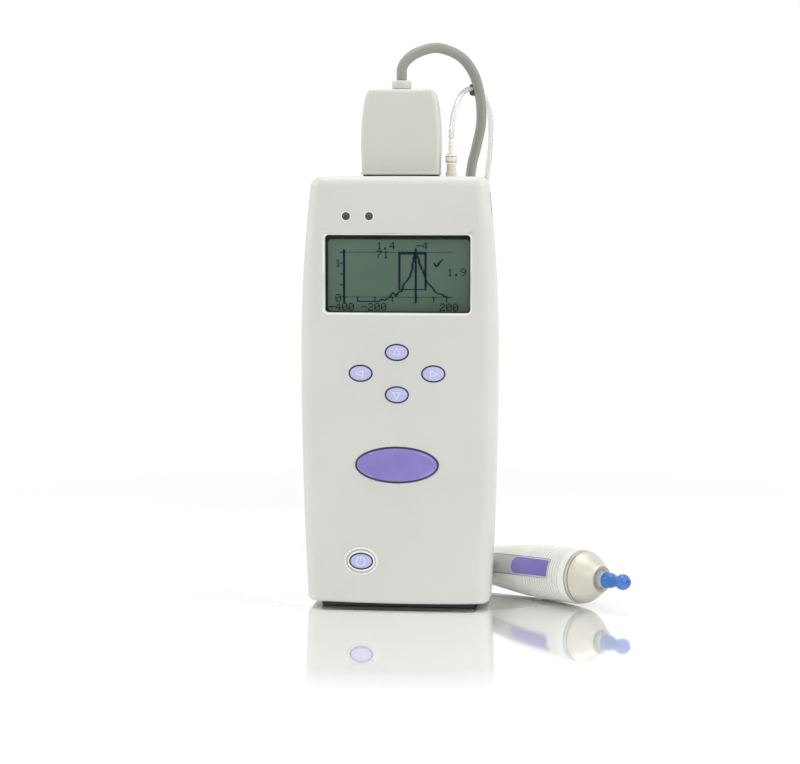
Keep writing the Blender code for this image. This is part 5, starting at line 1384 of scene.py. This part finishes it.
# navy for the keys' skirts, where it is partly painted gap shade, and for the badge's printed rim
navyAndGapShade = mouldedResin("siliconeNavyAndGapShade", "1f2244", "2a2d54", (0.4, 0.5), 0.3, 0.003)
dullBorder = {"Specular IOR Level": 0.15}
# dark border ink, which also stands for painted shadow at the top of the recess
borderInkAndShadow = mouldedResin("borderPrintAndPaintedShadow", "24261d", "34362a", (0.4, 0.5), 1.5, 0.004, **dullBorder)
softSheen = {"Sheen Weight": 0.6, "Sheen Roughness": 0.3}
keyRubber = mouldedResin("siliconeKeyLilac", "b9bbe4", "c6c8ee", (0.42, 0.52), 0.3, 0.004, **softSheen)
markInk = mouldedResin("keyMarkPaleInk", "dcdef8", "e6e8fb", (0.4, 0.5), 0.3, 0.003)
# black rubber for the foot and the pump's piston; on the hood's foot sheet it is painted shadow, and on the
# grown foot partly so
blackRubberAndShadow = mouldedResin("epdmBlackAndPaintedShadow", "1c1d1d", "282929", (0.7, 0.85), 0.6, 0.02)
matSilicone = mouldedResin("siliconeMatGrey", "9fa3ae", "adb1bb", (0.5, 0.6), 0.4, 0.005)
clipNylon = mouldedResin("nylonClipDark", "3a3c3b", "464847", (0.4, 0.5), 0.3, 0.008)
tieNylon = mouldedResin("nylonTieBlack", "1e1f20", "2a2b2c", (0.42, 0.55), 0.3, 0.006)
portNylon = mouldedResin("nylonPortIvory", "ddd8c4", "e6e1ce", (0.3, 0.4), 0.3, 0.004)
ringNylon = mouldedResin("nylonRingNatural", "f0ede2", "f7f4ea", (0.28, 0.38), 0.3, 0.004)
# brown paint that stands for shadow in the lock ring's grooves
grooveShadowInk = mouldedResin("ringBandPaint", "a85e33", "b96c3d", (0.35, 0.45), 0.3, 0.003)
jacketPvc = mouldedResin("pvcJacketGrey", "8f9187", "9b9d93", (0.42, 0.54), 0.35, 0.006)
bootTpe = mouldedResin("tpeBootGrey", "85877f", "919389", (0.5, 0.62), 0.4, 0.008)
labelFilm = mouldedResin("polyesterLabelGrey", "b9bab8", "c3c4c2", (0.34, 0.42), 0.5, 0.004)
labelEdge = mouldedResin("labelPrintPale", "d6d2e4", "dedaea", (0.32, 0.4), 0.5, 0.003)
lampEpoxy = mouldedResin("epoxyLampSmoked", "35362f", "45463f", (0.1, 0.16), 2, 0.002)
infraredAcrylic = mouldedResin("acrylicInfraredWindow", "9c9e93", "a7a99e", (0.16, 0.24), 3, 0.002)
inkLevel = {"Specular IOR Level": 0.05}
dotInk = mouldedResin("displaySegmentDark", "141a36", "1b2240", (0.5, 0.6), 3, 0.001, **inkLevel)
boardFr4 = mouldedResin("fr4BoardGreen", "24482f", "2e5b3a", (0.35, 0.45), 1.2, 0.01)

# polyurethane doming resin over print: deep colour under a clear, glossy, slightly wavy coat
coat = {"Coat Weight": 1, "Coat Roughness": 0.04}
badgeTones = ("7465b9", "8577c6")
badgeResin = wornSurface(
    "domingResinPurple", badgeTones, (0.3, 0.4), (12, 3), (4, 2), (7, 1), 0.02, 0.4, IOR=1.5, **coat
)

coneMetal = workedMetal("champagneSatinLacquer", "c9c6b9", "d3d0c4", (0.42, 0.52), 0.25, 0.004, 0.4)
ringMetal = workedMetal("champagneLacquerRing", "bdbaae", "c8c5ba", (0.36, 0.46), 0.3, 0.003, 0.45)
rimMetal = workedMetal("champagneLacquerMouth", "a19e92", "aeaba0", (0.4, 0.5), 0.3, 0.003, 0.35)
screwZinc = workedMetal("zincPlatedSteel", "8d8f92", "9c9ea1", (0.3, 0.42), 0.4, 0.006)
springSteel = workedMetal("nickelSpringSteel", "a9aaa8", "b9bab8", (0.25, 0.35), 0.4, 0.004)
cellSteel = workedMetal("printedCellSleeve", "4f6a86", "5a7693", (0.3, 0.36), 0.5, 0.003, 0.2)
shellZinc = workedMetal("tinPlatedShell", "aaaba8", "b8b9b6", (0.3, 0.4), 0.4, 0.005)

collarResin = clearPlastic("polycarbonateCollarClear", "cdd3d5", 0.12, 0.3, 1.58)
tubePvc = clearPlastic("pvcTubeClear", "f2f2ee", 0.14, 0.7, 1.53)
pumpAcrylic = clearPlastic("acrylicCylinderClear", "dfe2df", 0.1, 0.8)
tipSilicone = clearPlastic("siliconeTipBlue", "4287de", 0.2, 0.35, 1.45, **{"Subsurface Weight": 0.3})


def addDisplayWindow():
    # a cast acrylic window with an anti-glare coat: clear from the front, a weak reflection of the room
    material, tree = startTree("acrylicDisplayWindow")
    clear = addNode(tree, "BsdfTransparent", {"Color": toLinear("f4f7f4")}).outputs[0]
    gloss = addNode(tree, "BsdfGlossy", {"Roughness": 0.06}).outputs[0]
    mirrored = addNode(tree, "Fresnel", {"IOR": 1.16}).outputs[0]
    inside = addNode(tree, "NewGeometry").outputs["Backfacing"]
    # light that leaves the back of the window isn't mirrored
    share = reckon(tree, "SUBTRACT", mirrored, inside, use_clamp=True)
    mixed = addNode(tree, "MixShader", feeds={0: share, 1: clear, 2: gloss})
    addNode(tree, "OutputMaterial", feeds={"Surface": mixed.outputs[0]})
    return material


def addDisplayGlass():
    # reflective twisted-nematic glass: grey-green, a little darker to the right and patchy
    values = {"Roughness": 0.45, "Specular IOR Level": 0.1}
    material, tree, surface, place = startMaterial("displayGlassGreyGreen", IOR=1.5, **values)
    across = addNode(tree, "SeparateXYZ", feeds={"Vector": place}).outputs[0]
    share = spread(tree, across, -32, 32, 0.3, 0.7)
    both = reckon(tree, "ADD", share, noiseAt(tree, place, 22))
    halved = reckon(tree, "MULTIPLY", both, 0.5)
    tree.links.new(blendTones(tree, halved, "788c80", "64746b"), surface.inputs["Base Color"])
    return material


windowAcrylic = addDisplayWindow()
glassGreen = addDisplayGlass()

# each piece gets its material, its body and the nodes that it stands for

for part, material, body, *nodes in (
    (frontShell, housingAbs, "unit", "front_cover"),
    (rearShell, housingAbs, "unit", "rear_cover"),
    (doorPanel, housingAbs, "door", "battery_door"),
    (topPanel, panelAbs, "unit", "top_panel"),
    (lens, windowAcrylic, "unit", "lcd_lens"),
    (displayDots, dotInk, "unit"),
    (displayBorderAndShadow, borderInkAndShadow, "unit"),
    (windowRimHighlight, highlightWhite, "unit"),
    (lampRings[0], highlightWhite, "unit"),
    (lampRings[1], highlightWhite, "unit"),
    (badgeRim, navyAndGapShade, "unit"),
    (powerRing, highlightWhite, "unit"),
    (basePad, blackRubberAndShadow, "unit", "base_pad"),
    (statusLamps[0], lampEpoxy, "unit", "led_left"),
    (statusLamps[1], lampEpoxy, "unit", "led_right"),
    (badgePlate, badgeResin, "unit", "badge_plate"),
    (irWindow, infraredAcrylic, "unit", "ir_window"),
    (powerMark, markInk, "power_key"),
    (powerBar, markInk, "power_key"),
    (hoodFront, hoodAbs, "plug", "hood_front"),
    (hoodRear, hoodAbs, "plug", "hood_rear"),
    (hoodFootShadow, blackRubberAndShadow, "plug"),
    (gland, hoodAbs, "plug", "hood_gland"),
    (port, portNylon, "unit", "luer_port"),
    (lockRing, ringNylon, "lock_ring", "luer_lock_ring"),
    (grooveShadowRings[0], grooveShadowInk, "lock_ring"),
    (grooveShadowRings[1], grooveShadowInk, "lock_ring"),
    (barb, ringNylon, "unit", "luer_barb"),
    (cordClip, clipNylon, "unit", "cord_clip"),
    (junction, bootTpe, "unit", "lead_junction"),
    (coilTie, tieNylon, "unit", "coil_tie"),
    (airTube, tubePvc, "unit", "tube_run"),
    (probeLead, jacketPvc, "unit", "lead_coil", "lead_tail"),
    (labelShell, probeAbs, "unit", "probe_label_shell"),
    (backShell, probeAbs, "unit", "probe_back_shell"),
    (labelStrip, labelFilm, "unit", "probe_label_strip"),
    (patchEdge, labelEdge, "unit"),
    (colourPatch, badgeResin, "unit"),
    (boot, bootTpe, "unit", "probe_boot"),
    (ring, ringMetal, "cone_seal", "cone_ring"),
    (cone, coneMetal, "cone", "nose_cone"),
    (mouthRim, rimMetal, "cone"),
    (collar, collarResin, "unit", "probe_tip_collar"),
    (earTip, tipSilicone, "tip", "ear_tip"),
):
    finishPiece(part, material, body, *nodes)
for name, cap in keyCaps.items():
    finishPiece(cap, keyRubber, f"{name}_key", f"key_{name}")
for name, skirt in keySkirts.items():
    finishPiece(skirt, navyAndGapShade, f"{name}_key")
for name, mark in keyMarks.items():
    finishPiece(mark, markInk, f"{name}_key")
for index, screw in enumerate(caseScrews):
    finishPiece(screw, screwZinc, "unit", f"case_screw_{index + 1}")
dress(probeCable, jacketPvc)
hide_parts("cable_run")
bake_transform(probeCable)

for material, *nodes in (
    (glassGreen, "lcd_module"),
    (boardFr4, "main_pcb", "probe_pcb"),
    (matSilicone, "keypad_mat", "inner_air_tube"),
    (trayAbs, "battery_tray", "probe_receiver"),
    (cellSteel, "aa_cell_1", "aa_cell_2", "aa_cell_3", "aa_cell_4"),
    (springSteel, "contact_plate_upper", "contact_plate_lower", "pump_screw", "pump_motor"),
    (pumpAcrylic, "pump_cylinder"),
    (blackRubberAndShadow, "pump_piston"),
    (shellZinc, "dsub_socket", "plug_connector"),
):
    for node in nodes:
        dress(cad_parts[node], material)

# floor, backdrop and light

table = {
    "size": 4,  # metres
    "low": -0.2,
    "middle": (0, 60, 0),
    "reach": 300,  # the reflection's strength follows these stops, as shares of this distance
    "mirror": ((0.287, 0.96), (0.31, 0.7), (0.5, 0.68), (0.68, 0.6), (0.84, 0)),
    "matt": (200, 420),  # and the matt table runs out into white between these
}
deselectAll()
bpy.ops.mesh.primitive_plane_add(size=table["size"], location=(0, 0, table["low"] * mm))
floor = named("floor")


def paleTable():
    # white glossy laminate: a clear reflection that fades, the object's soft shadow, and white beyond
    material, tree = startTree("whiteGlossLaminate")
    feeds = {0: placeInMm(tree)}
    away = addNode(tree, "VectorMath", {1: table["middle"]}, feeds, operation="DISTANCE").outputs["Value"]
    share = addNode(tree, "ValToRGB", feeds={"Fac": reckon(tree, "DIVIDE", away, table["reach"])})
    setRamp(share, [(stop, grey(level)) for stop, level in table["mirror"]])
    matt = addNode(tree, "BsdfDiffuse", {"Color": grey(0.9)}).outputs[0]
    gloss = addNode(tree, "BsdfGlossy", {"Roughness": 0.05, "Color": grey(1)}).outputs[0]
    surface = addNode(tree, "MixShader", feeds={0: share.outputs[0], 1: matt, 2: gloss}).outputs[0]
    rays = addNode(tree, "LightPath")
    seen = reckon(tree, "MAXIMUM", rays.outputs["Is Camera Ray"], rays.outputs["Is Glossy Ray"])
    white = reckon(tree, "MULTIPLY", seen, spread(tree, away, *table["matt"], 0, 1))
    glow = addNode(tree, "Emission", {"Color": grey(1), "Strength": 1}).outputs[0]
    total = addNode(tree, "MixShader", feeds={0: white, 1: surface, 2: glow}).outputs[0]
    addNode(tree, "OutputMaterial", feeds={"Surface": total})
    return material


dress(floor, paleTable())

world = bpy.data.worlds.new("studio")
scene.world = world
world.use_nodes = True
sky = world.node_tree
sky.nodes.clear()
rays = addNode(sky, "LightPath").outputs
direct = reckon(sky, "MAXIMUM", rays["Is Camera Ray"], rays["Is Glossy Ray"])
direct = reckon(sky, "MAXIMUM", direct, rays["Is Transmission Ray"])
# the room is dimmer than the backdrop that is seen
level = spread(sky, direct, 0, 1, 0.55, 1)
backdrop = addNode(sky, "Background", {"Color": grey(1)}, {"Strength": level})
addNode(sky, "OutputWorld", feeds={"Surface": backdrop.outputs[0]})

aim = Vector((0, 0, 0.09))
for name, place, size, power in (
    ("rightLamp", (1.0, 0, 0.6), 0.5, 3.5),
    ("leftLamp", (-1.0, 0, 0.5), 0.6, 2.6),
    ("topLamp", (0, 0.1, 1.1), 0.6, 4.5),
    ("frontLamp", (0.3, -1.1, 0.75), 0.5, 2.6),
    ("catchLamp", (-0.4, -0.85, 0.7), 0.12, 0.5),
):
    bpy.ops.object.light_add(type="AREA", location=place)
    lamp = bpy.context.object
    lamp.name = name
    lamp.data.size = size
    lamp.data.energy = power
    lamp.rotation_euler = (aim - Vector(place)).to_track_quat("-Z", "Y").to_euler()

scene.view_settings.view_transform = "Standard"
